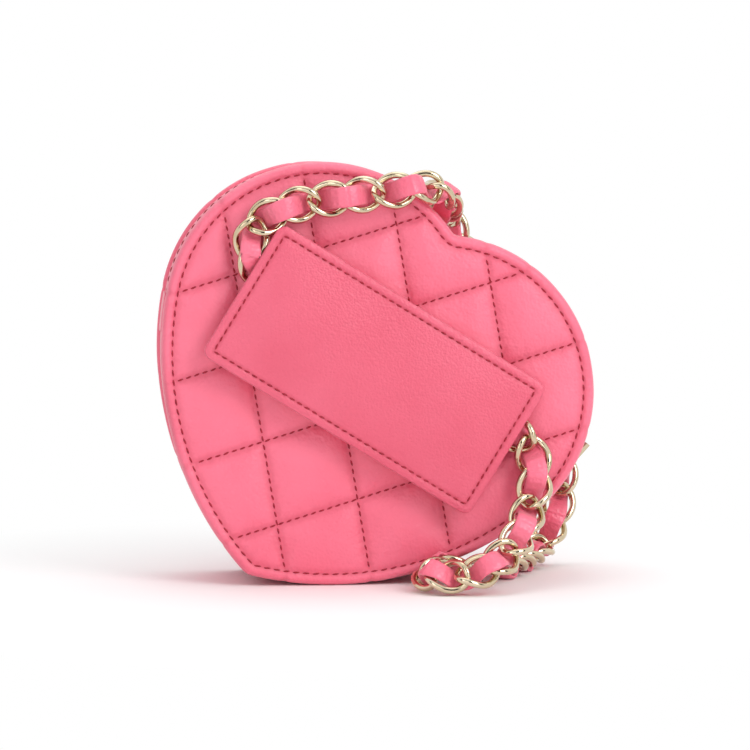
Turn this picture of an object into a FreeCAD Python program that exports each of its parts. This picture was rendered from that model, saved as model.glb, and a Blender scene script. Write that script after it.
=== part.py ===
import FreeCAD, Part
import math
import os
import Sketcher

"""Heart shaped purse: quilted leather, a zip round its side, an arm pad and a chain laced with leather.

Frame of the bag: X across the heart, Y up its axis, Z out of the back face, with the origin midway between
the lobe centres on the bag's middle plane. Frame of the part: +Z up from the floor and the back face towards
-Y, with the heart leaning over as it stands. Millimetres and degrees.
"""

V = FreeCAD.Vector
Placement = FreeCAD.Placement
Rotation = FreeCAD.Rotation

SIZES = [
    # Outline of the heart, its depth, and how and where it stands
    ("heart_width", 119.0), ("heart_height", 108.5), ("lobe_radius", 41.3), ("flank_radius", 87.0),
    ("tip_radius", 5.0), ("notch_radius", 3.0), ("bag_depth", 38.0), ("lean_angle", 31.7),
    ("stance_x", -0.81), ("stance_y", 8.47),
    # Layers of the two quilted faces, their turned edges, and the lattice of the quilting
    ("rim_width", 4.0), ("rim_thick", 4.5), ("rim_round", 1.6), ("rim_roll", 1.2), ("leather", 1.2),
    ("panel_thick", 1.9), ("padding", 1.3), ("board", 1.0), ("lining", 0.5), ("layer_gap", 0.2),
    ("quilt_across", 14.6), ("quilt_up", 16.7), ("quilt_start", -52.0), ("quilt_deep", 1.2),
    ("quilt_wide", 10.0), ("quilt_edge", 0.6),
    # Side wall and zip
    ("wall_inset", 1.0), ("zip_window", 9.0), ("zip_drop", 15.0), ("tape_width", 9.0), ("tape_thick", 0.5),
    ("half_gap", 0.3), ("tooth_pitch", 2.5), ("tooth_wide", 1.0), ("tooth_reach", 2.3), ("tooth_lap", 0.5),
    ("tooth_tall", 1.8), ("stop_wide", 1.5), ("stop_inset", 0.7), ("zip_tab_tall", 9.0), ("zip_tab_wide", 13.0),
    ("zip_tab_thick", 0.8),
    # Zip slider and pull tab
    ("slider_long", 10.0), ("slider_wide", 7.6), ("slider_plate", 1.0), ("slider_channel", 2.4),
    ("slider_slot", 1.8), ("slider_lip", 0.8), ("slider_post", 1.8), ("slider_gap", 1.1),
    ("bridge_long", 7.0), ("bridge_wide", 1.6), ("bridge_hole_long", 4.6), ("bridge_hole_tall", 1.4),
    ("bridge_roof", 0.9), ("pull_pin", 1.0), ("pull_arm", 0.9), ("pull_clear", 0.3), ("pull_neck", 4.8),
    ("pull_long", 12.0), ("pull_thick", 1.0),
    # Arm pad on the back face
    ("pad_width", 82.0), ("pad_height", 40.0), ("pad_drop", 4.0), ("pad_face_thick", 1.4), ("pad_round", 0.9),
    ("pad_corner", 2.5), ("pad_backing_thick", 1.0), ("pad_hem", 1.0), ("pad_core_thick", 4.6),
    ("pad_core_width", 58.0), ("pad_core_height", 32.0),
    # Chain, the leather laced through it, and the loops that hold its ends under the pad
    ("wire", 1.7), ("link_wide", 9.8), ("link_pitch", 8.4), ("link_slack", 0.9), ("link_twist", 42.0),
    ("lace_wide", 5.4), ("lace_thick", 0.9), ("lace_rise", 3.0), ("lace_tuck", 1.5),
    ("chain_tuck", 4.6), ("chain_rise", 5.0), ("floor_clear", 0.23),
    ("loop_wide", 1.6), ("loop_wall", 0.5), ("loop_clear", 0.2), ("loop_seat", 0.3),
]

doc = FreeCAD.newDocument("HeartPurse")
sheet = doc.addObject("Spreadsheet::Sheet", "Sizes")
for row, (alias, value) in enumerate(SIZES, start=1):
    sheet.set("A%d" % row, alias)
    sheet.set("B%d" % row, str(value))
    sheet.setAlias("B%d" % row, alias)
doc.recompute()

finished = []


def size(alias):
    """Value of one cell of the sheet."""
    return float(sheet.get(alias))


def bind(target, prop, expression):
    """Bind a property to cells, whose aliases stand in braces in the expression."""
    target.setExpression(prop, expression.replace("{", "Sizes.").replace("}", ""))


# Places of the outline's arcs in the frame of the bag
half_depth = size("bag_depth") / 2
lobe_x = size("heart_width") / 2 - size("lobe_radius")
tip_y = size("lobe_radius") + size("tip_radius") - size("heart_height")
notch_y = math.sqrt((size("lobe_radius") + size("notch_radius")) ** 2 - lobe_x ** 2)


def flank_centre():
    """Centre of the right flank's arc, which holds the circles of the right lobe and of the tip inside it."""
    to_lobe = size("flank_radius") - size("lobe_radius")
    to_tip = size("flank_radius") - size("tip_radius")
    span = math.hypot(lobe_x, tip_y)
    along = (to_lobe ** 2 - to_tip ** 2 + span ** 2) / (2 * span)
    across = math.sqrt(to_lobe ** 2 - along ** 2)
    ux, uy = -lobe_x / span, tip_y / span
    return lobe_x + along * ux + across * uy, along * uy - across * ux


flank_x, flank_y = flank_centre()
lean = math.radians(size("lean_angle"))
stance_z = size("flank_radius") + flank_x * math.sin(lean) - flank_y * math.cos(lean)
leaning = Rotation(V(0, 1, 0), size("lean_angle")).multiply(Rotation(V(1, 0, 0), 90))
STANCE = Placement(V(size("stance_x"), size("stance_y"), stance_z), leaning)


def stand(piece, label, z=0.0, spot=Placement()):
    """Label a finished piece of the bag and put it where it belongs on the leaning bag."""
    piece.Label = label
    piece.Placement = STANCE.multiply(spot).multiply(Placement(V(0, 0, z), Rotation()))
    finished.append(piece)


def heart_sketch():
    """The outline: six tangent arcs, the lobes, the flanks, the tip and the notch."""
    sketch = doc.addObject("Sketcher::SketchObject", "HeartOutline")
    join = math.atan2(-flank_y, lobe_x - flank_x)
    point = math.atan2(tip_y - flank_y, -flank_x)
    dip = math.atan2(notch_y, -lobe_x)
    right_lobe, notch, left_lobe, left_flank, tip, right_flank = range(6)
    arcs = [
        (lobe_x, 0, size("lobe_radius"), join, dip),
        (0, notch_y, size("notch_radius"), math.pi - dip + math.pi, dip + math.pi),
        (-lobe_x, 0, size("lobe_radius"), math.pi - dip, math.pi - join),
        (-flank_x, flank_y, size("flank_radius"), math.pi - join, math.pi - point),
        (0, tip_y, size("tip_radius"), math.pi - point, 2 * math.pi + point),
        (flank_x, flank_y, size("flank_radius"), point, join),
    ]
    for x, y, radius, start, end in arcs:
        circle = Part.Circle(V(x, y, 0), V(0, 0, 1), radius)
        sketch.addGeometry(Part.ArcOfCircle(circle, start, end), False)
    first, last, centre = 1, 2, 3
    origin, x_axis, y_axis = -1, -1, -2
    joints = [
        (right_lobe, last, notch, last), (notch, first, left_lobe, first), (left_lobe, last, left_flank, first),
        (left_flank, last, tip, first), (tip, last, right_flank, first), (right_flank, last, right_lobe, first),
    ]
    for one, one_end, other, other_end in joints:
        sketch.addConstraint(Sketcher.Constraint("Tangent", one, one_end, other, other_end))
    sketch.addConstraint(Sketcher.Constraint("Equal", right_lobe, left_lobe))
    sketch.addConstraint(Sketcher.Constraint("Equal", right_flank, left_flank))
    sketch.addConstraint(Sketcher.Constraint("PointOnObject", right_lobe, centre, x_axis))
    sketch.addConstraint(Sketcher.Constraint("Symmetric", right_lobe, centre, left_lobe, centre, origin, first))
    sketch.addConstraint(Sketcher.Constraint("PointOnObject", tip, centre, y_axis))
    driven = [
        (("Radius", right_lobe, size("lobe_radius")), "{lobe_radius}"),
        (("Radius", right_flank, size("flank_radius")), "{flank_radius}"),
        (("Radius", tip, size("tip_radius")), "{tip_radius}"),
        (("Radius", notch, size("notch_radius")), "{notch_radius}"),
        (("DistanceX", origin, first, right_lobe, centre, lobe_x), "{heart_width} / 2 - {lobe_radius}"),
        (("DistanceY", tip, centre, origin, first, -tip_y), "{heart_height} - {lobe_radius} - {tip_radius}"),
    ]
    for constraint, expression in driven:
        index = sketch.addConstraint(Sketcher.Constraint(*constraint))
        bind(sketch, "Constraints[%d]" % index, expression)
    return sketch


outline = heart_sketch()
doc.recompute()


def layer(name, inset, thick):
    """Heart shaped plate, as thick as one expression and inset from the outline by another, if any."""
    edge = outline
    if inset:
        edge = doc.addObject("Part::Offset2D", name + "Edge")
        edge.Source = outline
        edge.Join = "Arc"
        bind(edge, "Value", "-(%s)" % inset)
    plate = doc.addObject("Part::Extrusion", name)
    plate.Base = edge
    plate.DirMode = "Custom"
    plate.Dir = V(0, 0, 1)
    plate.Solid = True
    bind(plate, "LengthFwd", thick)
    return plate


def boolean(kind, name, base, tool):
    """Part::Cut or Part::Common of two solids."""
    made = doc.addObject("Part::" + kind, name)
    made.Base = base
    made.Tool = tool
    return made


def fuse(name, pieces):
    """Several solids as one."""
    made = doc.addObject("Part::MultiFuse", name)
    made.Shapes = pieces
    return made


def box(name, length, width, height, x="0", y="0", z="0"):
    """Block centred on a point, its sizes and its place given as expressions."""
    made = doc.addObject("Part::Box", name)
    for prop, place, extent, middle in (
        ("Length", "x", length, x), ("Width", "y", width, y), ("Height", "z", height, z),
    ):
        bind(made, prop, extent)
        bind(made, "Placement.Base." + place, "%s - (%s) / 2" % (middle, extent))
    return made


def rod(name, diameter, length, x="0", y="0", z="0"):
    """Round rod along Z, centred on a point, its sizes and its place given as expressions."""
    made = doc.addObject("Part::Cylinder", name)
    bind(made, "Radius", "(%s) / 2" % diameter)
    bind(made, "Height", length)
    bind(made, "Placement.Base.x", x)
    bind(made, "Placement.Base.y", y)
    bind(made, "Placement.Base.z", "%s - (%s) / 2" % (z, length))
    return made


# The two faces: a quilted skin over padding, a board and a lining, inside the turned rim
def rounded_rim(name, shown):
    """Ring along the outline, rolled over its outer corners and into the seam on its shown side."""
    outer = layer(name + "Outer", None, "{rim_thick}")
    ring = boolean("Cut", name + "Ring", outer, layer(name + "Inner", "{rim_width}", "{rim_thick}"))
    doc.recompute()
    walls = Part.makeCompound([face for face in outer.Shape.Faces if abs(face.normalAt(0, 0).z) < 0.5])
    rim = doc.addObject("Part::Fillet", name)
    rim.Base = ring
    rolled = []
    for number, edge in enumerate(ring.Shape.Edges, start=1):
        if edge.BoundBox.ZLength > 1e-6:
            continue
        start = Part.Vertex(edge.valueAt(edge.FirstParameter))
        if walls.distToShape(start)[0] < 1e-6:
            rolled.append((number, size("rim_round"), size("rim_round")))
        elif abs(start.Z - shown) < 1e-6:
            rolled.append((number, size("rim_roll"), size("rim_roll")))
    rim.Edges = rolled
    return rim


def quilt_groove(name, spot, way, facing):
    """V along one line of quilting stitches, with its edge in the skin and its base just above it."""
    groove = doc.addObject("Part::Wedge", name)
    for prop, expression in (
        ("Xmin", "-0.6 * {quilt_wide}"), ("Xmax", "0.6 * {quilt_wide}"), ("X2min", "0"), ("X2max", "0"),
        ("Ymin", "-0.2 * {quilt_deep}"), ("Ymax", "{quilt_deep}"),
        ("Zmin", "-2 * {heart_width}"), ("Zmax", "2 * {heart_width}"),
        ("Z2min", "-2 * {heart_width}"), ("Z2max", "2 * {heart_width}"),
    ):
        bind(groove, prop, expression)
    inwards = V(0, 0, -facing)
    groove.Placement = Placement(spot, Rotation(inwards.cross(way), inwards, way, "ZYX"))
    return groove


def quilted_panel(name, shown, facing):
    """Skin of one face: its edge drops to the rim, and a groove runs along every quilting line."""
    plate = layer(name + "Plate", "{rim_width} + {layer_gap}", "{panel_thick}")
    doc.recompute()
    drop = size("quilt_edge")
    edged = doc.addObject("Part::Chamfer", name + "Edged")
    edged.Base = plate
    edged.Edges = [
        (number, drop, drop) for number, edge in enumerate(plate.Shape.Edges, start=1)
        if edge.BoundBox.ZLength < 1e-6 and abs(edge.BoundBox.ZMin - shown) < 1e-6
    ]
    reach = size("heart_width") * 2
    count = math.ceil(reach / size("quilt_up"))
    grooves = []
    for slant in (1, -1):
        way = V(size("quilt_across"), slant * size("quilt_up"), 0).normalize()
        for number in range(-count, count):
            spot = V(0, size("quilt_start") + 2 * number * size("quilt_up"), shown)
            if plate.Shape.distToShape(Part.makeLine(spot - way * reach, spot + way * reach))[0] < 1e-6:
                grooves.append(quilt_groove("%sGroove%d" % (name, len(grooves)), spot, way, facing))
    return boolean("Cut", name, edged, fuse(name + "Grooves", grooves))


def build_face(side, facing):
    """All layers of one face; facing is +1 at the back of the bag and -1 at its front."""
    rim = rounded_rim(side + "Rim", size("rim_thick") if facing > 0 else 0.0)
    stand(rim, side + "_rim", z=half_depth - size("rim_thick") if facing > 0 else -half_depth)
    panel = quilted_panel(side + "Panel", size("panel_thick") if facing > 0 else 0.0, facing)
    depth = size("panel_thick")
    stand(panel, side + "_panel", z=half_depth - depth if facing > 0 else -half_depth)
    for cell in ("padding", "board", "lining"):
        plate = layer(side + cell.title(), "{rim_width} + {layer_gap}", "{%s}" % cell)
        stand(plate, side + "_" + cell, z=half_depth - depth - size(cell) if facing > 0 else depth - half_depth)
        depth += size(cell)


build_face("back", 1)
build_face("front", -1)

# Side wall: a strip each side of the zip above the zip's ends, and one whole strip round the tip below them
WALL_DEEP = "({bag_depth} - 2 * {rim_thick})"
STRIP_WIDE = "(%s - {zip_window}) / 2" % WALL_DEEP
UNDER_SKIN = "{wall_inset} + {leather}"
UNDER_TAPE = UNDER_SKIN + " + {tape_thick}"
ABOVE_ZIP_ENDS = (
    "{heart_width} * 2", "{heart_height} * 2", "{bag_depth} * 2", "0", "{heart_height} - {zip_drop}",
)


def wall(kind, name, inset, thick, deep):
    """Wall along the outline: Common keeps what is above the ends of the zip, Cut what is below them."""
    inner = layer(name + "Inner", inset + " + " + thick, deep)
    ring = boolean("Cut", name + "Ring", layer(name + "Outer", inset, deep), inner)
    return boolean(kind, name, ring, box(name + "Above", *ABOVE_ZIP_ENDS))


wall_top = half_depth - size("rim_thick")
strip_end = size("zip_window") / 2
tape_end = size("tooth_reach") - size("tooth_lap")
for side, facing in (("back", 1), ("front", -1)):
    strip = wall("Common", side + "Gusset", "{wall_inset}", "{leather}", STRIP_WIDE)
    stand(strip, side + "_gusset", z=strip_end if facing > 0 else -wall_top)
    tape = wall("Common", side + "Tape", UNDER_SKIN, "{tape_thick}", "{tape_width}")
    stand(tape, side + "_zip_tape", z=tape_end if facing > 0 else -tape_end - size("tape_width"))
    lined = wall("Common", side + "WallLining", UNDER_TAPE, "{lining}", STRIP_WIDE)
    stand(lined, side + "_gusset_lining", z=strip_end if facing > 0 else -wall_top)

lower_deep = WALL_DEEP + " - {half_gap}"
lower_z = size("half_gap") - wall_top
stand(wall("Cut", "LowerGusset", "{wall_inset}", "{leather}", lower_deep), "lower_gusset", z=lower_z)
stand(wall("Cut", "LowerLining", UNDER_SKIN, "{lining}", lower_deep), "lower_gusset_lining", z=lower_z)

tab_ring = wall("Cut", "TabWall", "{wall_inset} - {zip_tab_thick}", "{zip_tab_thick}", "{zip_tab_wide}")
tab_band = box(
    "TabBand", "{heart_width} * 2", "{zip_tab_tall}", "{bag_depth} * 2", "0", "-{zip_drop} - {zip_tab_tall} / 2",
)
stand(boolean("Common", "ZipTabs", tab_ring, tab_band), "zip_end_tabs", z=-size("zip_tab_wide") / 2)


# The zip's path runs from its right end over both lobes to its left end
tape_mid = size("wall_inset") + size("leather") + size("tape_thick") / 2
zip_radius = size("lobe_radius") - tape_mid
zip_dip = math.atan2(notch_y, -lobe_x)
zip_join = math.atan2(-flank_y, lobe_x - flank_x)
flank_run = size("flank_radius") - tape_mid
zip_low = math.asin((-size("zip_drop") - flank_y) / flank_run)
ZIP_ARCS = [
    (flank_x, flank_y, flank_run, zip_low, zip_join),
    (lobe_x, 0.0, zip_radius, zip_join, zip_dip),
    (0.0, notch_y, size("notch_radius") + tape_mid, math.pi + zip_dip, 2 * math.pi - zip_dip),
    (-lobe_x, 0.0, zip_radius, math.pi - zip_dip, math.pi - zip_join),
    (-flank_x, flank_y, flank_run, math.pi - zip_join, math.pi - zip_low),
]
if zip_low > zip_join:
    zip_low = -math.asin(size("zip_drop") / zip_radius)
    ZIP_ARCS = [
        (lobe_x, 0.0, zip_radius, zip_low, zip_dip), ZIP_ARCS[2],
        (-lobe_x, 0.0, zip_radius, math.pi - zip_dip, math.pi - zip_low),
    ]
zip_run = sum(abs(last - first) * radius for _, _, radius, first, last in ZIP_ARCS)


def zip_spot(distance):
    """Placement on the zip's path: X along it, Y into the bag, Z across it."""
    for x, y, radius, first, last in ZIP_ARCS:
        length = abs(last - first) * radius
        if distance <= length or last == math.pi - zip_low:
            way = math.copysign(1, last - first)
            angle = first + way * distance / radius
            spot = V(x + radius * math.cos(angle), y + radius * math.sin(angle), 0)
            return Placement(spot, Rotation(V(0, 0, 1), math.degrees(angle) + way * 90))
        distance -= length


def along_zip(name, label, wide, distances, facing):
    """Group of metal blocks on the edge of one tape, each lapping the zip's middle unless it is a stop."""
    lap = size("tooth_lap") if wide == size("tooth_wide") else -size("layer_gap") / 2
    reach = tape_end + lap
    block = Part.makeBox(
        wide, size("tooth_tall"), reach,
        V(-wide / 2, -size("tooth_tall") / 2, -lap if facing > 0 else -tape_end),
    )
    group = doc.addObject("Part::Feature", name)
    group.Shape = Part.makeCompound([block.transformed(zip_spot(d).toMatrix()) for d in distances])
    stand(group, label)


stop_at = size("stop_inset") + size("stop_wide") / 2
parked = stop_at + size("stop_wide") / 2 + size("slider_gap") + size("slider_long") / 2
teeth_from = parked + size("slider_long") / 2 + size("slider_gap")
teeth_count = int((zip_run - stop_at - size("tooth_pitch") - teeth_from) / size("tooth_pitch"))
for side, facing in (("back", 1), ("front", -1)):
    shift = size("tooth_pitch") / 2 if facing > 0 else 0
    teeth = [teeth_from + shift + number * size("tooth_pitch") for number in range(teeth_count)]
    along_zip(side + "Teeth", side + "_zip_teeth", size("tooth_wide"), teeth, facing)
    stops = [stop_at, zip_run - stop_at]
    along_zip(side + "Stops", side + "_zip_stops", size("stop_wide"), stops, facing)

# Zip slider, parked at the zip's right end: Y points into the bag, so what shows is on the -Y side
plate_y = "({slider_channel} + {slider_plate}) / 2"
lip_y = "({slider_channel} + {slider_slot}) / 4"
lip_z = "({slider_wide} - {slider_lip}) / 2"
lip_tall = "({slider_channel} - {slider_slot}) / 2"
plates = [
    box("SliderTop", "{slider_long}", "{slider_plate}", "{slider_wide}", y="-" + plate_y),
    box("SliderBase", "{slider_long}", "{slider_plate}", "{slider_wide}", y=plate_y),
    box("SliderPost", "{slider_long} / 3", "{slider_channel}", "{slider_post}", x="{slider_long} / 3"),
]
lip_spots = [(up + lip_y, across + lip_z) for up in ("", "-") for across in ("", "-")]
for number, (y, z) in enumerate(lip_spots):
    plates.append(box("SliderLip%d" % number, "{slider_long}", lip_tall, "{slider_lip}", y=y, z=z))
slider_spot = zip_spot(parked)
stand(fuse("SliderBody", plates), "slider_body", spot=slider_spot)

deck = "{slider_channel} / 2 + {slider_plate}"
pin_y = "-(%s + {bridge_hole_tall} / 2)" % deck
bridge_tall = "{bridge_hole_tall} + {bridge_roof}"
bridge_y = "-(%s + (%s) / 2)" % (deck, bridge_tall)
arch = box("BridgeBlock", "{bridge_long}", bridge_tall, "{bridge_wide}", y=bridge_y)
hole = box("BridgeHole", "{bridge_hole_long}", "{bridge_hole_tall}", "{bridge_wide} * 2", y=pin_y)
stand(boolean("Cut", "Bridge", arch, hole), "slider_bridge", spot=slider_spot)

arm_z = "({bridge_wide} / 2 + {pull_clear} + {pull_arm} / 2)"
pull_wide = "({bridge_wide} + 2 * {pull_clear} + 2 * {pull_arm})"
pull = [rod("PullPin", "{pull_pin}", pull_wide, y=pin_y)]
for number, sign in enumerate(("", "-")):
    pull.append(
        box("PullArm%d" % number, "{pull_neck} + {pull_pin} / 2", "{pull_pin}", "{pull_arm}",
            x="({pull_neck} - {pull_pin} / 2) / 2", y=pin_y, z=sign + arm_z)
    )
pull.append(
    box("PullTab", "{pull_long}", "{pull_thick}", pull_wide, x="{pull_neck} + {pull_long} / 2", y=pin_y)
)
stand(fuse("PullPiece", pull), "pull_tab", spot=slider_spot)


# Arm pad: a stitched leather face on a backing, sewn to the bag through a smaller core
def pad_plate(name, width, height, thick, corner, edge_round):
    """Rectangular plate with rounded corners, and a rounded outer edge if one is given."""
    body = doc.addObject("PartDesign::Body", name)
    sketch = body.newObject("Sketcher::SketchObject", name + "Sketch")
    flat = [plane for plane in body.Origin.OriginFeatures if plane.Role == "XY_Plane"][0]
    sketch.AttachmentSupport = [(flat, "")]
    sketch.MapMode = "FlatFace"
    corners = [V(-1, -1, 0), V(1, -1, 0), V(1, 1, 0), V(-1, 1, 0)]
    for number in range(4):
        sketch.addGeometry(Part.LineSegment(corners[number], corners[(number + 1) % 4]), False)
    for number in range(4):
        sketch.addConstraint(Sketcher.Constraint("Coincident", number, 2, (number + 1) % 4, 1))
        sketch.addConstraint(Sketcher.Constraint(("Horizontal", "Vertical")[number % 2], number))
    sketch.addConstraint(Sketcher.Constraint("Symmetric", 0, 1, 2, 1, -1, 1))
    across = sketch.addConstraint(Sketcher.Constraint("DistanceX", 0, 1, 0, 2, 2.0))
    bind(sketch, "Constraints[%d]" % across, width)
    upwards = sketch.addConstraint(Sketcher.Constraint("DistanceY", 1, 1, 1, 2, 2.0))
    bind(sketch, "Constraints[%d]" % upwards, height)
    pad = body.newObject("PartDesign::Pad", name + "Pad")
    pad.Profile = sketch
    bind(pad, "Length", thick)
    doc.recompute()
    shape = pad.Shape
    edges = enumerate(shape.Edges, start=1)
    upright_edges = ["Edge%d" % number for number, edge in edges if edge.BoundBox.ZLength > 1e-6]
    rounded = body.newObject("PartDesign::Fillet", name + "Corners")
    rounded.Base = (pad, upright_edges)
    bind(rounded, "Radius", corner)
    doc.recompute()
    if edge_round:
        top = rounded.Shape.BoundBox.ZMax
        edges = enumerate(rounded.Shape.Edges, start=1)
        rim = ["Edge%d" % number for number, edge in edges if edge.BoundBox.ZMin > top - 1e-6]
        softened = body.newObject("PartDesign::Fillet", name + "Edge")
        softened.Base = (rounded, rim)
        bind(softened, "Radius", edge_round)
    return body


pad_spot = Placement(V(0, -size("pad_drop"), half_depth), Rotation())
core = pad_plate("PadCore", "{pad_core_width}", "{pad_core_height}", "{pad_core_thick}", "{pad_corner}", None)
stand(core, "arm_pad_core", spot=pad_spot)
backing = pad_plate(
    "PadBacking", "{pad_width} - 2 * {pad_hem}", "{pad_height} - 2 * {pad_hem}", "{pad_backing_thick}",
    "{pad_corner}", None,
)
stand(backing, "arm_pad_backing", z=size("pad_core_thick"), spot=pad_spot)
face = pad_plate(
    "PadFace", "{pad_width}", "{pad_height}", "{pad_face_thick}", "{pad_corner}", "{pad_round}",
)
stand(face, "arm_pad_face", z=size("pad_core_thick") + size("pad_backing_thick"), spot=pad_spot)

# Route of the chain. Beside the pad its places are measured in links from where it starts under the pad.
# Elsewhere each is across the bag as a share of half the heart's width, through it as a share of half its depth
# plus a stand-off in links, and up from the chain's bed on the floor: 1 is the height of the lobe centres'
# middle, and what is over 1 counts in lobe radii. With each place goes the way that the chain's flat side faces.
BACK, FLOOR, FRONT = (0, -1, 0), (0, 0, -1), (0, 1, 0)
LEFT_EXIT = [(-0.745, 0.308, 0.024, BACK), (-1.207, 0.763, 0.119, BACK)]
UPPER = [
    (-0.470, -1.00, -0.464, 1.896, BACK),
    (-0.336, -1.00, -0.476, 1.967, BACK),
    (-0.184, -1.00, -0.476, 2.001, BACK),
    (-0.016, -1.00, -0.476, 2.030, BACK),
    (0.134, -1.00, -0.560, 2.059, (0.1, -1.0, 0.2)),
    (0.268, -1.00, -0.155, 2.074, (0.35, -0.6, 0.6)),
]
WRAP = [
    (0.340, -0.58, 0.000, 1.993, (0.45, -0.15, 0.9)),
    (0.360, 0.11, 0.000, 1.925, (0.5, 0.0, 0.85)),
    (0.370, 0.68, 0.000, 1.919, (0.5, 0.2, 0.8)),
    (0.414, 1.00, 0.321, 1.838, (0.35, 0.8, 0.5)),
    (0.504, 1.00, 0.500, 1.570, FRONT),
    (0.648, 1.00, 0.500, 1.268, FRONT),
    (0.798, 1.00, 0.524, 0.948, FRONT),
    (0.908, 1.00, 0.548, 0.675, FRONT),
    (0.9492, 1.00, 0.643, 0.395, FRONT),
    (0.932, 1.00, 0.762, 0.174, (0.05, 0.95, -0.3)),
    (0.848, 1.00, 0.179, 0.036, (0.0, 0.6, -0.8)),
    (0.756, 0.55, 0.000, 0.000, FLOOR),
    (0.672, -0.05, 0.000, 0.000, FLOOR),
    (0.580, -0.66, 0.000, 0.000, FLOOR),
]
LOWER = [
    (0.429, -1.00, -0.114, 0.014, (0.41, -0.22, -0.88)),
    (0.278, -1.00, -0.507, 0.024, (0.54, -0.47, -0.70)),
    (0.208, -1.00, -1.276, 0.018, (0.75, -0.01, -0.66)),
    (0.275, -1.00, -2.665, 0.023, (0.60, 0.59, -0.54)),
    (0.415, -1.00, -2.733, 0.030, (0.08, 0.75, -0.66)),
    (0.545, -1.00, -2.306, 0.101, (0.04, 0.98, -0.18)),
    (0.634, -1.00, -1.398, 0.198, (0.02, 0.99, -0.14)),
    (0.696, -1.00, -0.749, 0.350, (0.12, 0.98, -0.15)),
]
RIGHT_EXIT = [(1.645, -0.542, 0.214, FRONT), (0.958, 0.005, 0.202, FRONT)]
below_pad = V(size("stance_x") - size("pad_drop") * math.sin(lean), size("stance_y"), 0)
chain_bed = size("lace_rise") + size("lace_thick") / 2 + size("floor_clear")
chain_head = 2 * chain_bed + size("wire")
lobe_at = STANCE.multVec(V(lobe_x, 0, 0))
clear_of_lobe = lobe_at.x + math.sqrt(max(size("lobe_radius") ** 2 - (lobe_at.z - chain_head) ** 2, 0))


def beside_pad(side, across=0.0, upwards=0.0, outwards=0.0):
    """Place so many links from the chain's start under one end of the pad; side is -1 at the left end."""
    start_x = side * (size("pad_width") / 2 - size("chain_tuck"))
    start = V(start_x, size("chain_rise"), size("pad_core_thick") / 2)
    return STANCE.multiply(pad_spot).multVec(start + V(across, upwards, outwards) * size("link_pitch"))


def round_bag(across, through, stand_off, up):
    """Place round the bag, in the frame of the part; on the floor it keeps to where the lobe is high enough."""
    depth = through * half_depth + stand_off * size("link_pitch")
    height = chain_bed + min(up, 1) * (stance_z - chain_bed) + max(up - 1, 0) * size("lobe_radius")
    sideways = below_pad.x + across * size("heart_width") / 2
    if height < chain_head and abs(depth) < half_depth + size("link_wide") / 2:
        sideways = max(sideways, clear_of_lobe)
    return V(sideways, below_pad.y + depth, height)


places = [beside_pad(-1)] + [beside_pad(-1, *row[:3]) for row in LEFT_EXIT]
places += [round_bag(*row[:4]) for row in UPPER + WRAP + LOWER]
places += [beside_pad(1, *row[:3]) for row in RIGHT_EXIT] + [beside_pad(1)]
ROUTE = LEFT_EXIT[:1] + LEFT_EXIT + UPPER + WRAP + LOWER + RIGHT_EXIT + RIGHT_EXIT[-1:]
facings = [V(*row[-1]) for row in ROUTE]
line = Part.BSplineCurve()
line.interpolate(places)
knots = line.getKnots()
chain_length = line.length()
link_count = 2 * round(chain_length / size("link_pitch") / 2)
pitch = chain_length / link_count
print("chain: %.1f mm long, %d links at a pitch of %.3f mm" % (chain_length, link_count, pitch))


def route_facing(where):
    """Way that the chain's flat side faces at one parameter of its middle line."""
    number = max(i for i, knot in enumerate(knots[:-1]) if knot <= where + 1e-9)
    share = (where - knots[number]) / (knots[number + 1] - knots[number])
    return facings[number] * (1 - share) + facings[number + 1] * share


joint_knots = [line.parameterAtDistance(number * pitch, knots[0]) for number in range(link_count + 1)]
joints = [(line.value(where), route_facing(where)) for where in joint_knots]


def chain_frame(distance):
    """Place on the chain, straight from joint to joint, with its heading, its normal and the way across."""
    number = min(max(int(distance / pitch), 0), link_count - 1)
    share = distance / pitch - number
    (start, start_facing), (end, end_facing) = joints[number:number + 2]
    heading = (end - start).normalize()
    facing = start_facing * (1 - share) + end_facing * share
    normal = (facing - heading * facing.dot(heading)).normalize()
    return start + (end - start) * share, heading, normal, normal.cross(heading)


def arc_from(start, tangent, end):
    """Circular arc that leaves one point along a tangent and ends at another point."""
    chord = end - start
    along = V(chord).normalize()
    sideways = tangent - along * tangent.dot(along)
    bulge = chord.Length / 2 * math.tan(tangent.getAngle(along) / 2)
    return Part.Arc(start, start + chord / 2 + sideways.normalize() * bulge, end).toShape()


def bent_wire(arc):
    """Round wire along one arc."""
    start = arc.FirstParameter
    section = Part.Circle(arc.valueAt(start), arc.tangentAt(start), size("wire") / 2).toShape()
    return Part.Wire([arc]).makePipeShell([Part.Wire([section])], True, False)


def curb_link():
    """One link: an oval of round wire with its two ends twisted opposite ways, so that the chain lies flat."""
    half_long = (pitch + size("wire") + size("link_slack")) / 2
    half_wide = (size("link_wide") - size("wire")) / 2
    twist = math.radians(size("link_twist"))
    corners = [
        (V(half_long, 0, 0), V(0, math.cos(twist), math.sin(twist))),
        (V(0, half_wide, 0), V(-half_long, 0, -half_wide * twist).normalize()),
        (V(-half_long, 0, 0), V(0, -math.cos(twist), math.sin(twist))),
        (V(0, -half_wide, 0), V(half_long, 0, -half_wide * twist).normalize()),
    ]
    bends = []
    for number, (start, leaving) in enumerate(corners):
        end, arriving = corners[(number + 1) % 4]
        span, both = end - start, leaving + arriving
        spread = 2 * (1 - leaving.dot(arriving))
        reach = (math.sqrt(span.dot(both) ** 2 + spread * span.dot(span)) - span.dot(both)) / spread
        middle = (start + end + (leaving - arriving) * reach) / 2
        bends.append(bent_wire(arc_from(start, leaving, middle)))
        bends.append(bent_wire(arc_from(end, arriving * -1, middle)))
    return bends[0].multiFuse(bends[1:])


LINK = curb_link()


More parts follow.
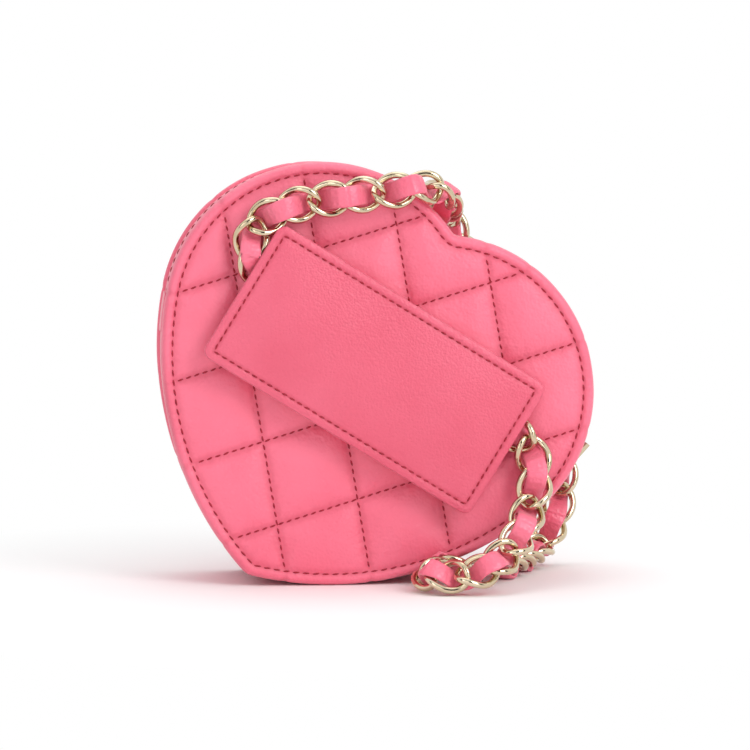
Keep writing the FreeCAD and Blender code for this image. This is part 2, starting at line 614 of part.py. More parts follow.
def chain_links(name, label, first, last):
    """The links of one run of the chain."""
    links = []
    for number in range(first, last):
        place, heading, normal, across = chain_frame((number + 0.5) * pitch)
        turn = Rotation(heading, across, normal, "XZY")
        links.append(LINK.transformed(Placement(place, turn).toMatrix()))
    run = doc.addObject("Part::Feature", name)
    run.Shape = Part.makeCompound(links)
    run.Label = label
    finished.append(run)


STEPS_A_LINK = 8
WEAVE_STEEPNESS = 1.2


def lace_middle(distance):
    """Middle of the lacing, which goes over and under the joints of the links and rounds their corners."""
    place, _, normal, across = chain_frame(distance)
    number = min(max(round(distance / pitch), 1), link_count - 1)
    before, corner, after = (joints[number + step][0] for step in (-1, 0, 1))
    share = distance / pitch - number + 0.5
    start, end = (before + corner) / 2, (corner + after) / 2
    curve = start * (1 - share) ** 2 + corner * (2 * share * (1 - share)) + end * share ** 2
    if 0 <= share <= 1:
        place = place + across * (curve - place).dot(across)
    swing = min(1.0, min(distance, chain_length - distance) / pitch) * size("lace_rise")
    wave = math.tanh(-WEAVE_STEEPNESS * math.cos(math.pi * distance / pitch)) / math.tanh(WEAVE_STEEPNESS)
    return place + normal * (swing * wave)


def lace_section(distance):
    """Rectangular cross section of the lacing."""
    nudge = pitch / (4 * STEPS_A_LINK)
    heading = (lace_middle(distance + nudge) - lace_middle(distance - nudge)).normalize()
    flat = chain_frame(distance - nudge)[3] + chain_frame(distance + nudge)[3]
    across = (flat - heading * flat.dot(heading)).normalize()
    side, rise = across * (size("lace_wide") / 2), heading.cross(across) * (size("lace_thick") / 2)
    centre = lace_middle(distance)
    corners = [centre + side + rise, centre - side + rise, centre - side - rise, centre + side - rise]
    return Part.makePolygon(corners + corners[:1])


def lacing(name, label, first, last):
    """The lacing of one run of the chain, from one distance to another."""
    step = pitch / STEPS_A_LINK
    every = [number * step for number in range(link_count * STEPS_A_LINK)]
    inner = [distance for distance in every if first + step / 2 < distance < last - step / 2]
    run = doc.addObject("Part::Feature", name)
    run.Shape = Part.makeLoft([lace_section(distance) for distance in [first] + inner + [last]], True, True)
    run.Label = label
    finished.append(run)


def links_until(points):
    """How many links lie on the route up to its first so many points."""
    return round(line.length(knots[0], knots[points]) / pitch)


upper_links = links_until(len(LEFT_EXIT + UPPER))
wrap_links = links_until(len(LEFT_EXIT + UPPER + WRAP))
chain_links("UpperLinks", "chain_upper_links", 0, upper_links)
chain_links("WrapLinks", "chain_wrap_links", upper_links, wrap_links)
chain_links("LowerLinks", "chain_lower_links", wrap_links, link_count)
lacing("UpperLacing", "chain_upper_lacing", size("lace_tuck"), upper_links * pitch)
lacing("WrapLacing", "chain_wrap_lacing", upper_links * pitch, wrap_links * pitch)
lacing("LowerLacing", "chain_lower_lacing", wrap_links * pitch, chain_length - size("lace_tuck"))


def chain_loop(name, label, distance, inwards):
    """Leather loop round the end wire of the chain, with a tail that is sewn in beside the pad's core."""
    bore = "({wire} + 2 * {loop_clear})"
    outside = "(%s + 2 * {loop_wall})" % bore
    tail = "(({pad_width} - {pad_core_width}) / 2 - {chain_tuck} - {loop_seat} - ({wire} + {link_slack}) / 2)"
    band = rod(name + "Band", outside, "{loop_wide}")
    strap = box(name + "Strap", tail, "{loop_wall}", "{loop_wide}", x="-%s / 2" % tail)
    ring = boolean("Cut", name, fuse(name + "Whole", [band, strap]), rod(name + "Bore", bore, "{loop_wide} * 2"))
    place, heading, normal, across = chain_frame(distance)
    end_wire = place - heading * (inwards * (size("wire") + size("link_slack")) / 2)
    turn = Rotation(heading * inwards, normal, across, "XZY")
    tilt = Placement(V(), Rotation(V(1, 0, 0), -size("link_twist")))
    ring.Placement = Placement(end_wire, turn).multiply(tilt)
    ring.Label = label
    finished.append(ring)


chain_loop("LeftLoop", "left_chain_loop", 0.0, 1)
chain_loop("RightLoop", "right_chain_loop", chain_length, -1)

doc.recompute()
for item in doc.Objects:
    if "Invalid" in item.State or "Error" in item.State:
        raise RuntimeError("%s failed: %s" % (item.Name, item.State))
for piece in finished:
    if piece.Shape.isNull() or not piece.Shape.isValid():
        raise RuntimeError("%s has no valid shape" % piece.Label)
os.makedirs("parts", exist_ok=True)
for piece in finished:
    piece.Shape.exportStep("parts/%s.step" % piece.Label)
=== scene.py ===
"""Looks of the heart shaped purse: quilted leather, stitching, zip, arm pad and a chain laced with leather.

Sizes are in millimetres in the bag's own frame (X across the heart, Y up its axis, Z out of the back face)
until `Stance.place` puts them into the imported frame, in metres.
"""

import logging
import math
from dataclasses import dataclass, field
from enum import Enum

import bmesh
import bpy
import numpy as np
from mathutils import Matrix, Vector
from mathutils.geometry import delaunay_2d_cdt


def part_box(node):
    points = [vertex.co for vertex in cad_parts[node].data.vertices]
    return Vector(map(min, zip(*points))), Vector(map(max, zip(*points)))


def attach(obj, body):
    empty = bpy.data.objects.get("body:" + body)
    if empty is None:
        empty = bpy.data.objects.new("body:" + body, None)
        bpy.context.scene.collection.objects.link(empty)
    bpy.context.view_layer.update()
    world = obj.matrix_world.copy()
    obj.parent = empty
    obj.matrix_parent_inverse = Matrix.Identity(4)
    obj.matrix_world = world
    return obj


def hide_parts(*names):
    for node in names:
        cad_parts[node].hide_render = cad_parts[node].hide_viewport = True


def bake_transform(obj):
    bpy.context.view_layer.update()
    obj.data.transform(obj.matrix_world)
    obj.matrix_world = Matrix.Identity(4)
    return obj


LOG = logging.getLogger("purse")
MM = 0.001
FULL_TURN = 2 * math.pi
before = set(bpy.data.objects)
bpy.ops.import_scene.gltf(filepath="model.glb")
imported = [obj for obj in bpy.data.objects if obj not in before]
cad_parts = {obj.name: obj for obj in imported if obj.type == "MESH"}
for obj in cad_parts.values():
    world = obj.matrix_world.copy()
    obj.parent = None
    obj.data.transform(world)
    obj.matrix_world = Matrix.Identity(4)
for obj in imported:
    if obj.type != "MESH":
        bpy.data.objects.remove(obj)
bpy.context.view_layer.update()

Tree = bpy.types.NodeTree
Socket = bpy.types.NodeSocket
Material = bpy.types.Material
Piece = bpy.types.Object
Array = np.ndarray
Row = tuple[float, ...]
Faces = list[list[int]]

# Sockets of a colour mix, which share their names with those of its other kinds.
MIX_FIRST, MIX_SECOND, MIX_RESULT = 6, 7, 2
# A wave texture of scale 1 repeats after this length.
WAVE_LENGTH = 0.314
# Choice of the triangulator that keeps what lies inside the border, and the gap under which it merges points.
KEEP_INSIDE, MERGE_GAP = 1, 1e-5


class Side(Enum):
    """The two quilted faces of the bag, with the sign of their outward Z."""

    BACK = 1
    FRONT = -1

    @property
    def body(self) -> str:
        """Body that this face moves with."""
        return f"{self.word}_half"

    @property
    def word(self) -> str:
        """Start of the names of this face's nodes."""
        return self.name.lower()

    @property
    def flip(self) -> Array:
        """Factors that mirror points of the back face to this one."""
        return np.array([1, 1, self.value])


def linear(code: str) -> Row:
    """Turn an sRGB hex colour into linear light.

    Args:
        code: colour as "#RRGGBB".

    Returns:
        Red, green, blue and an alpha of 1.
    """
    parts = [int(code[start:start + 2], 16) / 255 for start in (1, 3, 5)]
    light = [part / 12.92 if part <= 0.04045 else ((part + 0.055) / 1.055) ** 2.4 for part in parts]
    return (*light, 1.0)


def node(tree: Tree, kind: str, settings: dict | None = None, links: dict | None = None) -> bpy.types.Node:
    """Add one shader node.

    Args:
        tree: node tree of the material.
        kind: type name of the node.
        settings: values of its properties, or of its inputs where no property has the name.
        links: output sockets to link to its inputs, by input name or number.

    Returns:
        The new node.
    """
    made = tree.nodes.new(kind)
    for key, value in (settings or {}).items():
        if isinstance(key, str) and hasattr(made, key):
            setattr(made, key, value)
        else:
            made.inputs[key].default_value = value
    for key, socket in (links or {}).items():
        tree.links.new(socket, made.inputs[key])
    return made


def math_node(tree: Tree, operation: str, *terms: Socket | float) -> Socket:
    """Add one step of arithmetic.

    Args:
        tree: node tree of the material.
        operation: name of the operation.
        terms: sockets or plain numbers that it takes.

    Returns:
        Its result.
    """
    numbers = {key: term for key, term in enumerate(terms) if isinstance(term, float)}
    links = {key: term for key, term in enumerate(terms) if key not in numbers}
    return node(tree, "ShaderNodeMath", {"operation": operation, **numbers}, links).outputs[0]


def ramp(tree: Tree, factor: Socket, stops: list[tuple[float, str]]) -> Socket:
    """Add a colour ramp through hex colours.

    Args:
        tree: node tree of the material.
        factor: socket that drives the ramp.
        stops: positions with their colours.

    Returns:
        The ramp's colour output.
    """
    made = node(tree, "ShaderNodeValToRGB", links={"Fac": factor})
    elements = made.color_ramp.elements
    while len(elements) < len(stops):
        elements.new(0.5)
    for element, (position, code) in zip(elements, stops):
        element.position = position
        element.color = linear(code)
    return made.outputs["Color"]


class Shade:
    """A material in the making, with the steps that the finishes share."""

    def __init__(self, name: str) -> None:
        """Start a material whose textures lie in object coordinates.

        Args:
            name: name of the finish.
        """
        self.material = bpy.data.materials.new(name)
        self.material.use_nodes = True
        self.tree = self.material.node_tree
        self.shader = self.tree.nodes["Principled BSDF"]
        self.place = node(self.tree, "ShaderNodeTexCoord").outputs["Object"]

    def link(self, socket: Socket, name: str) -> None:
        """Lead a socket to one of the shader's inputs."""
        self.tree.links.new(socket, self.shader.inputs[name])

    def noise(self, size_mm: float, detail: float) -> Socket:
        """Noise whose largest features have a size, with layers of finer detail."""
        settings = {"Scale": 1 / (size_mm * MM), "Detail": detail}
        return node(self.tree, "ShaderNodeTexNoise", settings, {"Vector": self.place}).outputs["Fac"]

    def waves(self, direction: str, size_mm: float) -> Socket:
        """Even waves of a length, which follow each other along an axis."""
        settings = {"bands_direction": direction, "Scale": WAVE_LENGTH / (size_mm * MM)}
        return node(self.tree, "ShaderNodeTexWave", settings, {"Vector": self.place}).outputs["Fac"]

    def relief(self, height: Socket, strength: float, depth_mm: float) -> None:
        """Raise a fine relief.

        Args:
            height: pattern of the relief, from 0 to 1.
            strength: share of the relief that shows.
            depth_mm: depth of the relief.
        """
        settings = {"Strength": strength, "Distance": depth_mm * MM}
        bump = node(self.tree, "ShaderNodeBump", settings, {"Height": height})
        self.link(bump.outputs["Normal"], "Normal")

    def gloss(self, pattern: Socket, low: float, high: float) -> None:
        """Let the roughness follow a pattern, from where that is 0 to where it is 1."""
        spread = node(self.tree, "ShaderNodeMapRange", {"To Min": low, "To Max": high}, {"Value": pattern})
        self.link(spread.outputs[0], "Roughness")

    def plain(self, values: dict[str, float | Row]) -> Material:
        """Set what is the same all over the surface.

        Args:
            values: values of the shader's inputs by their names.

        Returns:
            The finished material.
        """
        for name, value in values.items():
            self.shader.inputs[name].default_value = value
        return self.material


@dataclass(frozen=True)
class LambskinFinish:
    """Pigmented lambskin, lightly glazed: a fine close grain, soft highlights, and shade painted in a deeper
    colour along stitched seams and creases.
    """

    name: str = "pink_lambskin"
    colour: str = "#EE617D"
    light: str = "#F26D88"
    # Colour of the painted shade along stitches and creases.
    deep: str = "#C62A4A"
    cloud_mm: float = 26.0
    grain_mm: float = 0.85
    grain_share: float = 0.55
    wrinkle_mm: float = 1.5
    relief_mm: float = 0.22
    relief_share: float = 0.85
    roughness: float = 0.47

    def make(self) -> Material:
        """Build the material.

        Returns:
            The material, which paints shade in its deep colour where a piece's stored seam shade is near 1.
        """
        shade = Shade(self.name)
        tree = shade.tree
        tint = ramp(tree, shade.noise(self.cloud_mm, 3.0), [(0.32, self.colour), (0.68, self.light)])
        seam = node(tree, "ShaderNodeAttribute", {"attribute_name": "seam"}).outputs["Fac"]
        # Painted shade: the deep colour is mixed in by the stored seam shade, darkening the leather along
        # stitches and creases.
        mixed = node(tree, "ShaderNodeMix", {"data_type": "RGBA", MIX_SECOND: linear(self.deep)},
                     {"Factor": seam, MIX_FIRST: tint})
        shade.link(mixed.outputs[MIX_RESULT], "Base Color")
        grain = node(tree, "ShaderNodeTexVoronoi", {"Scale": 1 / (self.grain_mm * MM)},
                     {"Vector": shade.place})
        wrinkle = shade.noise(self.wrinkle_mm, 5.0)
        height = math_node(tree, "MULTIPLY_ADD", grain.outputs["Distance"], self.grain_share, wrinkle)
        shade.relief(height, self.relief_share, self.relief_mm)
        shade.gloss(wrinkle, self.roughness - 0.05, self.roughness + 0.09)
        return shade.plain({"IOR": 1.5, "Specular IOR Level": 0.8, "Sheen Weight": 0.2})


@dataclass(frozen=True)
class GoldPlateFinish:
    """Pale gold plate on polished brass wire: bright mirror highlights with faint handling marks."""

    name: str = "pale_gold_plate"
    colour: str = "#CBB999"
    light: str = "#DCCDB1"
    cloud_mm: float = 6.0
    mark_mm: float = 0.5
    roughness: float = 0.065

    def make(self) -> Material:
        """Build the material.

        Returns:
            The material.
        """
        shade = Shade(self.name)
        cloud = shade.noise(self.cloud_mm, 4.0)
        shade.link(ramp(shade.tree, cloud, [(0.3, self.colour), (0.7, self.light)]), "Base Color")
        marks = shade.noise(self.mark_mm, 6.0)
        shade.gloss(marks, self.roughness - 0.05, self.roughness + 0.1)
        shade.relief(marks, strength=0.05, depth_mm=0.03)
        return shade.plain({"Metallic": 1.0})


@dataclass(frozen=True)
class WovenFinish:
    """Plain woven fabric: crossing yarns that show as a fine weave, dull, with a little fuzz."""

    name: str
    colour: str
    deep: str
    yarn_mm: float = 0.45

    def make(self) -> Material:
        """Build the material.

        Returns:
            The material.
        """
        shade = Shade(self.name)
        weave = math_node(shade.tree, "MULTIPLY", *(shade.waves(axis, self.yarn_mm) for axis in ("X", "Z")))
        shade.link(ramp(shade.tree, weave, [(0.0, self.deep), (0.75, self.colour)]), "Base Color")
        shade.relief(weave, strength=0.4, depth_mm=0.1)
        return shade.plain({"Roughness": 0.85, "Sheen Weight": 0.25})


@dataclass(frozen=True)
class ThreadFinish:
    """Twisted polyester thread: fine slanting plies with a slight lustre."""

    name: str = "rose_thread"
    colour: str = "#AE1030"
    deep: str = "#84081E"
    ply_mm: float = 0.35

    def make(self) -> Material:
        """Build the material.

        Returns:
            The material.
        """
        shade = Shade(self.name)
        plies = shade.waves("DIAGONAL", self.ply_mm)
        shade.link(ramp(shade.tree, plies, [(0.1, self.deep), (0.8, self.colour)]), "Base Color")
        shade.relief(plies, strength=0.4, depth_mm=0.06)
        return shade.plain({"Roughness": 0.55})


@dataclass(frozen=True)
class FibreFinish:
    """Grey millboard and loose wadding inside the faces: matt, with a fibrous mottle."""

    name: str
    colour: str
    deep: str
    fibre_mm: float = 1.2

    def make(self) -> Material:
        """Build the material.

        Returns:
            The material.
        """
        shade = Shade(self.name)
        fibre = shade.noise(self.fibre_mm, 6.0)
        shade.link(ramp(shade.tree, fibre, [(0.3, self.deep), (0.7, self.colour)]), "Base Color")
        shade.relief(fibre, strength=0.3, depth_mm=0.2)
        return shade.plain({"Roughness": 0.95})


# Lambskin of the arm pad: a finer grain and a little more gloss, and colours darker than the quilt's, which
# is painted shade on the flat pad.
SHADED_PAD_LAMBSKIN = LambskinFinish(name="pink_pad_lambskin_shaded", colour="#DC4A67", light="#E25672", grain_mm=0.6,
                              wrinkle_mm=0.85, roughness=0.4)


@dataclass
class Finishes:
    """All finishes of the bag, made once."""

    leather: Material = field(default_factory=LambskinFinish().make)
    pad: Material = field(default_factory=SHADED_PAD_LAMBSKIN.make)
    lace: Material = field(default_factory=LambskinFinish(name="pink_lacing", roughness=0.36).make)
    gold: Material = field(default_factory=GoldPlateFinish().make)
    thread: Material = field(default_factory=ThreadFinish().make)
    tape: Material = field(default_factory=WovenFinish("zip_tape", "#EE8096", "#C2506A").make)
    lining: Material = field(default_factory=WovenFinish("lining", "#E88A9C", "#C4617A", 0.6).make)
    wadding: Material = field(default_factory=FibreFinish("wadding", "#EFEAE0", "#D8D0C2").make)
    board: Material = field(default_factory=FibreFinish("millboard", "#BFB4A2", "#9A907F").make)


@dataclass(frozen=True)
class Stance:
    """How the bag leans and where it stands."""

    middle: float
    lean_deg: float = 31.7
    across: float = -0.81
    up: float = 60.441

    def turn(self, local: Array) -> Array:
        """Turn directions from the bag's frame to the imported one.

        Args:
            local: rows of x, y and z.

        Returns:
            The turned rows.
        """
        cos, sin = math.cos(math.radians(self.lean_deg)), math.sin(math.radians(self.lean_deg))
        x, y, z = local[..., 0], local[..., 1], local[..., 2]
        return np.stack([x * cos + y * sin, -z, y * cos - x * sin], -1)

    def place(self, local: Array) -> Array:
        """Points in the bag's frame, in millimetres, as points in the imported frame, in metres."""
        return (self.turn(local) + np.array([self.across, self.middle, self.up])) * MM


STANCE = Stance(middle=(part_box("back_rim")[0][1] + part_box("front_rim")[1][1]) / 2 / MM)


@dataclass(frozen=True)
class HeartOutline:
    """Outline of the heart: six tangent arcs, which stay tangent at any inset."""

    width: float = 119.0
    height: float = 108.5
    lobe: float = 41.3
    flank: float = 87.0
    tip: float = 5.0
    notch: float = 3.0

    def arcs(self) -> list[Row]:
        """Arcs from the tip up the right, over both lobes and back.

        Returns:
            Centre x and y, radius, first and last angle, and the sign by which an inset shortens the radius.
        """
        lobe_x = self.width / 2 - self.lobe
        tip_y = self.lobe + self.tip - self.height
        notch_y = math.sqrt((self.lobe + self.notch) ** 2 - lobe_x ** 2)
        span = math.hypot(lobe_x, tip_y)
        to_lobe, to_tip = self.flank - self.lobe, self.flank - self.tip
        along = (to_lobe ** 2 - to_tip ** 2 + span ** 2) / (2 * span)
        across = math.sqrt(to_lobe ** 2 - along ** 2)
        ux, uy = -lobe_x / span, tip_y / span
        fx, fy = lobe_x + along * ux + across * uy, along * uy - across * ux
        join = math.atan2(-fy, lobe_x - fx)
        point = math.atan2(tip_y - fy, -fx)
        dip = math.atan2(notch_y, -lobe_x)
        pi = math.pi
        return [
            (0, tip_y, self.tip, -pi / 2, point, 1),
            (fx, fy, self.flank, point, join, 1),
            (lobe_x, 0, self.lobe, join, dip, 1),
            (0, notch_y, self.notch, pi + dip, 2 * pi - dip, -1),
            (-lobe_x, 0, self.lobe, pi - dip, pi - join, 1),
            (-fx, fy, self.flank, pi - join, pi - point, 1),
            (0, tip_y, self.tip, pi - point, 1.5 * pi, 1),
        ]

    def samples(self, step: float, inset: float = 2.0) -> Array:
        """Evenly spaced stations round the outline.

        Args:
            step: spacing along the ring at the given inset.
            inset: ring on which the spacing is measured.

        Returns:
            Rows of centre x, centre y, radius, angle and inset sign.
        """
        rows = []
        for x, y, radius, first, last, sign in self.arcs():
            length = abs(last - first) * (radius - sign * inset)
            count = max(3, round(length / step))
            for number in range(count):
                rows.append((x, y, radius, first + (last - first) * number / count, sign))
        return np.array(rows)

    @staticmethod
    def ring(samples: Array, inset: Array | float) -> Array:
        """Points of the stations at an inset, one row of x and y each."""
        reach = samples[:, 2] - samples[:, 4] * inset
        return samples[:, :2] + reach[:, None] * np.stack([np.cos(samples[:, 3]), np.sin(samples[:, 3])], 1)


HEART = HeartOutline()


def nearest(points: Array, curve: Array, block: int = 200) -> Array:
    """Distance from each point to the nearest of a dense row of points.

    Args:
        points: rows of x and y.
        curve: the dense row.
        block: how much of the row is measured at a time.

    Returns:
        One distance a point.
    """
    found = np.full(len(points), np.inf)
    for start in range(0, len(curve), block):
        gap = points[:, None, :] - curve[None, start:start + block, :]
        found = np.minimum(found, np.sqrt((gap ** 2).sum(-1)).min(1))
    return found


def inside(points: Array, polygon: Array) -> Array:
    """Which points lie inside a closed polygon.

    Args:
        points: rows of x and y.
        polygon: corners of the polygon in order.

    Returns:
        True for each point inside.
    """
    x, y = points[:, 0], points[:, 1]
    result = np.zeros(len(points), bool)
    for (x0, y0), (x1, y1) in zip(polygon, np.roll(polygon, -1, 0)):
        if y0 != y1:
            crossing = (y0 > y) != (y1 > y)
            result ^= crossing & (x < x0 + (y - y0) * (x1 - x0) / (y1 - y0))
    return result


def smooth_noise(points: Array, wavelength: float, seed: int, waves: int = 7) -> Array:
    """Soft wavy noise from a few fixed sine waves.

    Args:
        points: rows of x and y.
        wavelength: length of a middling wave.
        seed: choice of the waves.
        waves: how many there are.

    Returns:
        One value a point, between about -1 and 1.
    """
    rng = np.random.default_rng(seed)
    total = np.zeros(len(points))
    for _ in range(waves):
        angle, phase = rng.uniform(0, FULL_TURN, 2)
        k = FULL_TURN / (wavelength * rng.uniform(0.7, 1.5))
        total += np.sin(points[:, 0] * k * math.cos(angle) + points[:, 1] * k * math.sin(angle) + phase)
    return total / 4


def bell(distance: Array | float, width: float) -> Array | float:
    """Bell curve that is 1 at no distance."""
    return np.exp(-(distance / width) ** 2)


def unit(vector: Array) -> Array:
    """Vector or rows of vectors, each at a length of 1."""
    return vector / np.linalg.norm(vector, axis=-1, keepdims=True)


def level(plan: Array, height: Array | float) -> Array:
    """Rows of x and y with a height added."""
    return np.column_stack([plan, np.broadcast_to(height, len(plan))])


def band(first: list[int] | range, second: list[int] | range, closed: bool = True) -> Faces:
    """Faces between two rows of vertices.

    Args:
        first: vertex numbers of one row.
        second: as many of the other.
        closed: whether the rows return to their start.

    Returns:
        Four vertex numbers a face.
    """
    count = len(first)
    pairs = [(here, (here + 1) % count) for here in range(count if closed else count - 1)]
    return [[first[here], first[ahead], second[ahead], second[here]] for here, ahead in pairs]


def copies(faces: Faces, size: int, count: int) -> Faces:
    """Faces of a shape of some size that is copied a number of times."""
    return [[index + size * number for index in face] for number in range(count) for face in faces]


def net(points: Array, edges: list[tuple[int, int]]) -> tuple[Array, Faces, list[list[int]]]:
    """Triangles between points inside a border.

    Args:
        points: rows of x and y.
        edges: pairs of points that an edge has to join, the border among them.

    Returns:
        The points of the net, its triangles, and which of the given points each of its points was.
    """
    made = delaunay_2d_cdt([Vector(point) for point in points], edges, [], KEEP_INSIDE, MERGE_GAP)
    return np.array([tuple(point) for point in made[0]]), [list(face) for face in made[2]], made[3]


def add_mesh(name: str, points: Array, faces: Faces, material: Material | None) -> Piece:
    """New smooth mesh object at the origin.

    Args:
        name: name of the piece.
        points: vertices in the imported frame, in metres.
        faces: vertex numbers of each face.
        material: finish of the piece, if it is shown.

    Returns:
        The object, with its faces pointing outwards.
    """
    mesh = bpy.data.meshes.new(name)
    mesh.from_pydata([tuple(point) for point in points], [], [tuple(int(i) for i in face) for face in faces])
    piece = bpy.data.objects.new(name, mesh)
    bpy.context.scene.collection.objects.link(piece)
    form = bmesh.new()
    form.from_mesh(mesh)
    bmesh.ops.recalc_face_normals(form, faces=form.faces)
    form.to_mesh(mesh)
    form.free()
    mesh.polygons.foreach_set("use_smooth", np.ones(len(mesh.polygons), bool))
    if material:
        mesh.materials.append(material)
    return piece


def take_shape() -> tuple[Array, Faces]:
    """Take the shape of the primitive just added, and remove its object.

    Returns:
        Its points and its faces.
    """
    blank = bpy.context.object
    points = np.array([tuple(vertex.co) for vertex in blank.data.vertices])
    faces = [list(face.vertices) for face in blank.data.polygons]
    bpy.data.objects.remove(blank)
    return points, faces


def store_painted_seam_shade(piece: Piece, values: Array) -> None:
    """Store at each vertex how much shade is painted near stitched seams and creases, in the leather's deep
    colour.
    """
    layer = piece.data.attributes.new("seam", "FLOAT", "POINT")
    layer.data.foreach_set("value", np.clip(values, 0, 1).astype(np.float32))


def settle(piece: Piece, body: str, slot: str, *nodes: str) -> None:
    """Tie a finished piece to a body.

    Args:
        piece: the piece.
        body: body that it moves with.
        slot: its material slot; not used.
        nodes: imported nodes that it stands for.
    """
    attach(piece, body)
    if nodes:
        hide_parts(*nodes)
    LOG.info("%s: %d faces on %s", piece.name, len(piece.data.polygons), body)


def settle_between(piece: Piece, stands_for: str) -> None:
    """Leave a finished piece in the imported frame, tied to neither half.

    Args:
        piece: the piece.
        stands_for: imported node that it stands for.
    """
    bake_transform(piece)
    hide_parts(stands_for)
    LOG.info("%s: bends between the halves", piece.name)


@dataclass
class StitchRow:
    """Stitches along one or more sewn lines, each a grain of thread that dips into the leather at its ends.
    """

    pitch: float = 2.6
    share: float = 0.7
    radius: float = 0.25
    flatness: float = 0.85
    slant: float = 0.084
    slant_swing: float = 0.056
    slant_turn: float = 2.4
    arch: float = 0.14
    sink: float = 0.05
    spots: list = field(default_factory=list)

    def along(self, path: Array, normals: Array, closed: bool = False) -> None:
        """Set stitches along a path.

        Args:
            path: points in the bag's frame.
            normals: outward normals of the surface at those points.
            closed: whether the path returns to its start.
        """
        if closed:
            path, normals = np.vstack([path, path[:1]]), np.vstack([normals, normals[:1]])
        runs = np.concatenate([[0], np.cumsum(np.linalg.norm(np.diff(path, axis=0), axis=1))])
        count = max(1, round(runs[-1] / self.pitch))
        step = runs[-1] / count

        def at(run: float, rows: Array) -> Array:
            """Row that belongs to a length along the path."""
            return np.array([np.interp(run, runs, rows[:, axis]) for axis in range(3)])

        for number in range(count):
            middle = (number + 0.5) * step
            reach = step * self.share / 2
            self.spots.append((at(middle - reach, path), at(middle + reach, path), at(middle, normals)))

    def build(self, name: str, material: Material) -> Piece:
        """Model one stitch and copy it to every place.

        Args:
            name: name of the piece.
            material: finish of the thread.

        Returns:
            All the stitches as one piece.
        """
        bpy.ops.object.select_all(action="DESELECT")
        bpy.ops.mesh.primitive_uv_sphere_add(segments=8, ring_count=7, radius=1.0)
        grain, faces = take_shape()
        x, y, z = grain[:, :1], grain[:, 1:2], grain[:, 2:]
        dip = self.arch * (1 - z ** 2) - self.sink
        points = []
        for number, (first, last, normal) in enumerate(self.spots):
            along = unit(last - first)
            up = unit(normal - along * (normal @ along))
            side = np.cross(up, along)
            slant = self.slant + self.slant_swing * math.sin(number * self.slant_turn)
            shape = z * ((last - first) / 2 + side * slant) + x * side * self.radius
            points.append((first + last) / 2 + shape + (y * self.radius * self.flatness + dip) * up)
        faces = copies(faces, len(grain), len(self.spots))
        return add_mesh(name, STANCE.place(np.vstack(points)), faces, material)


